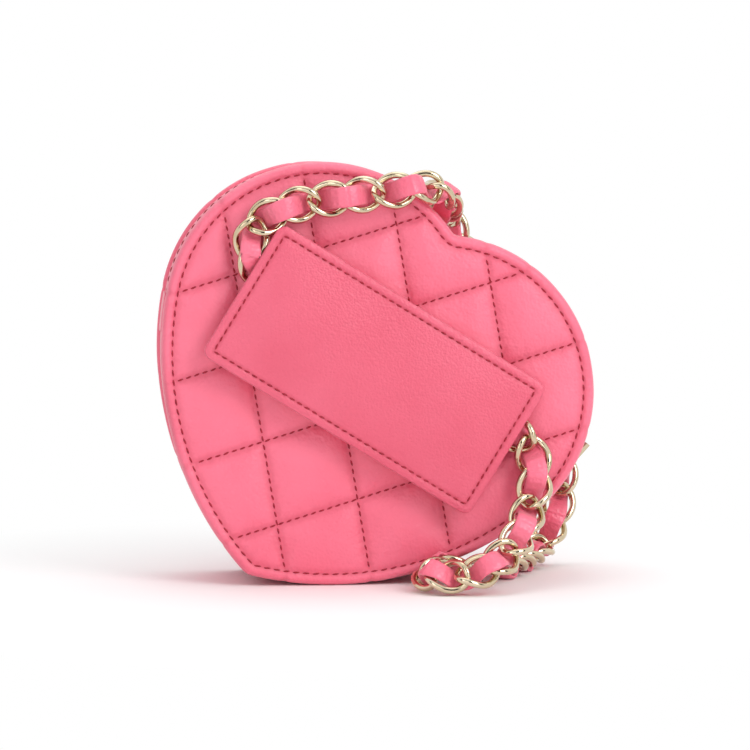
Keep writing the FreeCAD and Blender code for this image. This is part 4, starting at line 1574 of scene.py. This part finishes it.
@dataclass(frozen=True)
class Card:
    """An upright dark card on the floor, from one foot to the other, in metres."""

    name: str
    first: Row
    last: Row
    height: float


@dataclass
class Studio:
    """Pale floor, soft light and the camera at the photograph's angle, in metres."""

    azimuth: float = 5.5
    elevation: float = 3.8
    distance: float = 0.900
    focal_px: float = 3402.0
    frame_px: float = 750.0
    sensor_mm: float = 36.0
    target: Row = (-0.00165, -0.00225, 0.05495)
    floor_size: float = 6.0
    shadow_reach: Row = (0.055, 0.16)
    card_colour: str = "#0C0C0C"
    cards: tuple[Card, ...] = (
        Card("front_card", (-0.9, -1.25), (0.9, -1.25), 1.1),
        Card("right_card", (0.95, -0.7), (0.95, -0.4), 0.8),
        Card("left_card", (-0.95, -0.7), (-0.95, -0.4), 0.8),
    )
    lamps: tuple[Lamp, ...] = (
        Lamp("key", (0.55, -0.72, 0.60), 4.8, 0.5), Lamp("fill", (-0.45, -0.95, 0.16), 3.5, 0.9),
        Lamp("top", (-0.1, 0.25, 1.0), 2.3, 0.8), Lamp("low", (0.55, -0.9, 0.06), 1.5, 0.5),
    )

    def build(self) -> None:
        """Set up the stage, the lights and the camera."""
        bpy.context.scene.view_settings.view_transform = "Standard"
        self.set_floor()
        self.set_surround()
        self.set_cards()
        self.set_lamps()
        self.set_camera()

    @staticmethod
    def background_rays(tree: Tree) -> Socket:
        """Tell which rays show the background: camera, glossy and transmission rays.

        Args:
            tree: node tree of the floor or the world.

        Returns:
            Socket that is 1 for those rays and 0 for others.
        """
        rays = node(tree, "ShaderNodeLightPath").outputs
        direct = math_node(tree, "MAXIMUM", rays["Is Camera Ray"], rays["Is Glossy Ray"])
        return math_node(tree, "MAXIMUM", direct, rays["Is Transmission Ray"])

    def set_floor(self) -> None:
        """Lay white paper, which takes soft shadows near the bag and fades into the background beyond."""
        bpy.ops.object.select_all(action="DESELECT")
        bpy.ops.mesh.primitive_plane_add(size=self.floor_size)
        floor = bpy.context.object
        floor.name = "floor"
        shade = Shade("studio_paper")
        tree = shade.tree
        mottle = shade.noise(size_mm=333.3, detail=2.0)
        shade.link(ramp(tree, mottle, [(0.0, "#FAFAFA"), (1.0, "#FDFDFD")]), "Base Color")
        away = node(tree, "ShaderNodeVectorMath", {"operation": "LENGTH"}, {0: shade.place}).outputs["Value"]
        near, far = self.shadow_reach
        fade = node(tree, "ShaderNodeMapRange", {"From Min": near, "From Max": far}, {"Value": away})
        share = math_node(tree, "MULTIPLY", fade.outputs[0], self.background_rays(tree))
        glow = node(tree, "ShaderNodeEmission", {"Strength": 1.0}).outputs[0]
        both = node(tree, "ShaderNodeMixShader", links={0: share, 1: shade.shader.outputs[0], 2: glow})
        tree.links.new(both.outputs[0], tree.nodes["Material Output"].inputs["Surface"])
        floor.data.materials.append(shade.plain({"Roughness": 0.9}))

    def set_surround(self) -> None:
        """Make the world white as a background, and for its light a studio that is bright overhead."""
        world = bpy.data.worlds.new("studio")
        bpy.context.scene.world = world
        world.use_nodes = True
        tree = world.node_tree
        place = node(tree, "ShaderNodeTexCoord").outputs["Generated"]
        height = node(tree, "ShaderNodeSeparateXYZ", links={0: place}).outputs["Z"]
        light = ramp(tree, height, [(0.0, "#1E1E1E"), (0.25, "#161616"), (0.48, "#A0A0A0"), (0.8, "#FFFFFF")])
        shown = node(tree, "ShaderNodeMix", {"data_type": "RGBA", MIX_SECOND: linear("#FFFFFF")},
                     {"Factor": self.background_rays(tree), MIX_FIRST: light})
        tree.links.new(shown.outputs[MIX_RESULT], tree.nodes["Background"].inputs["Color"])

    def set_cards(self) -> None:
        """Stand dark cards round the bag, which show only as the dark streaks in its metal and gloss."""
        dark = Shade("dark_card").plain({"Base Color": linear(self.card_colour), "Roughness": 1.0,
                                         "Specular IOR Level": 0.0})
        for card in self.cards:
            foot = level(np.array([card.first, card.last]), 0.0)
            head = level(np.array([card.last, card.first]), card.height)
            piece = add_mesh(card.name, np.vstack([foot, head]), [[0, 1, 2, 3]], dark)
            piece.visible_camera = piece.visible_diffuse = piece.visible_shadow = False

    def set_lamps(self) -> None:
        """Hang the lamps."""
        for lamp in self.lamps:
            light = bpy.data.lights.new(lamp.name, "AREA")
            light.energy = lamp.power
            light.size = lamp.size
            stand = bpy.data.objects.new(lamp.name, light)
            bpy.context.scene.collection.objects.link(stand)
            stand.location = lamp.where
            stand.rotation_euler = (Vector(self.target) - stand.location).to_track_quat("-Z", "Y").to_euler()

    def set_camera(self) -> None:
        """Set the camera at the photograph's angle."""
        a, e = math.radians(self.azimuth), math.radians(self.elevation)
        look = Vector((math.sin(a) * math.cos(e), math.cos(a) * math.cos(e), -math.sin(e)))
        camera = bpy.data.objects.new("camera", bpy.data.cameras.new("camera"))
        bpy.context.scene.collection.objects.link(camera)
        camera.location = Vector(self.target) - look * self.distance
        camera.rotation_euler = look.to_track_quat("-Z", "Y").to_euler()
        camera.data.sensor_width = self.sensor_mm
        camera.data.lens = self.sensor_mm * self.focal_px / self.frame_px
        camera.data.clip_start = 0.01
        bpy.context.scene.camera = camera


def main() -> None:
    """Build the purse and its studio in order."""
    logging.basicConfig(level=logging.INFO, format="%(name)s %(message)s")
    finishes = Finishes()
    Hardware(finishes).dress()
    quilt = Quilt()
    for side in Side:
        QuiltedFace(side, quilt, finishes).build()
        FaceLining(side, finishes).build()
    SideWall(finishes).build()
    ArmPad(finishes).build()
    LacedChain(finishes).build()
    Studio().build()


if __name__ == "__main__":
    main()
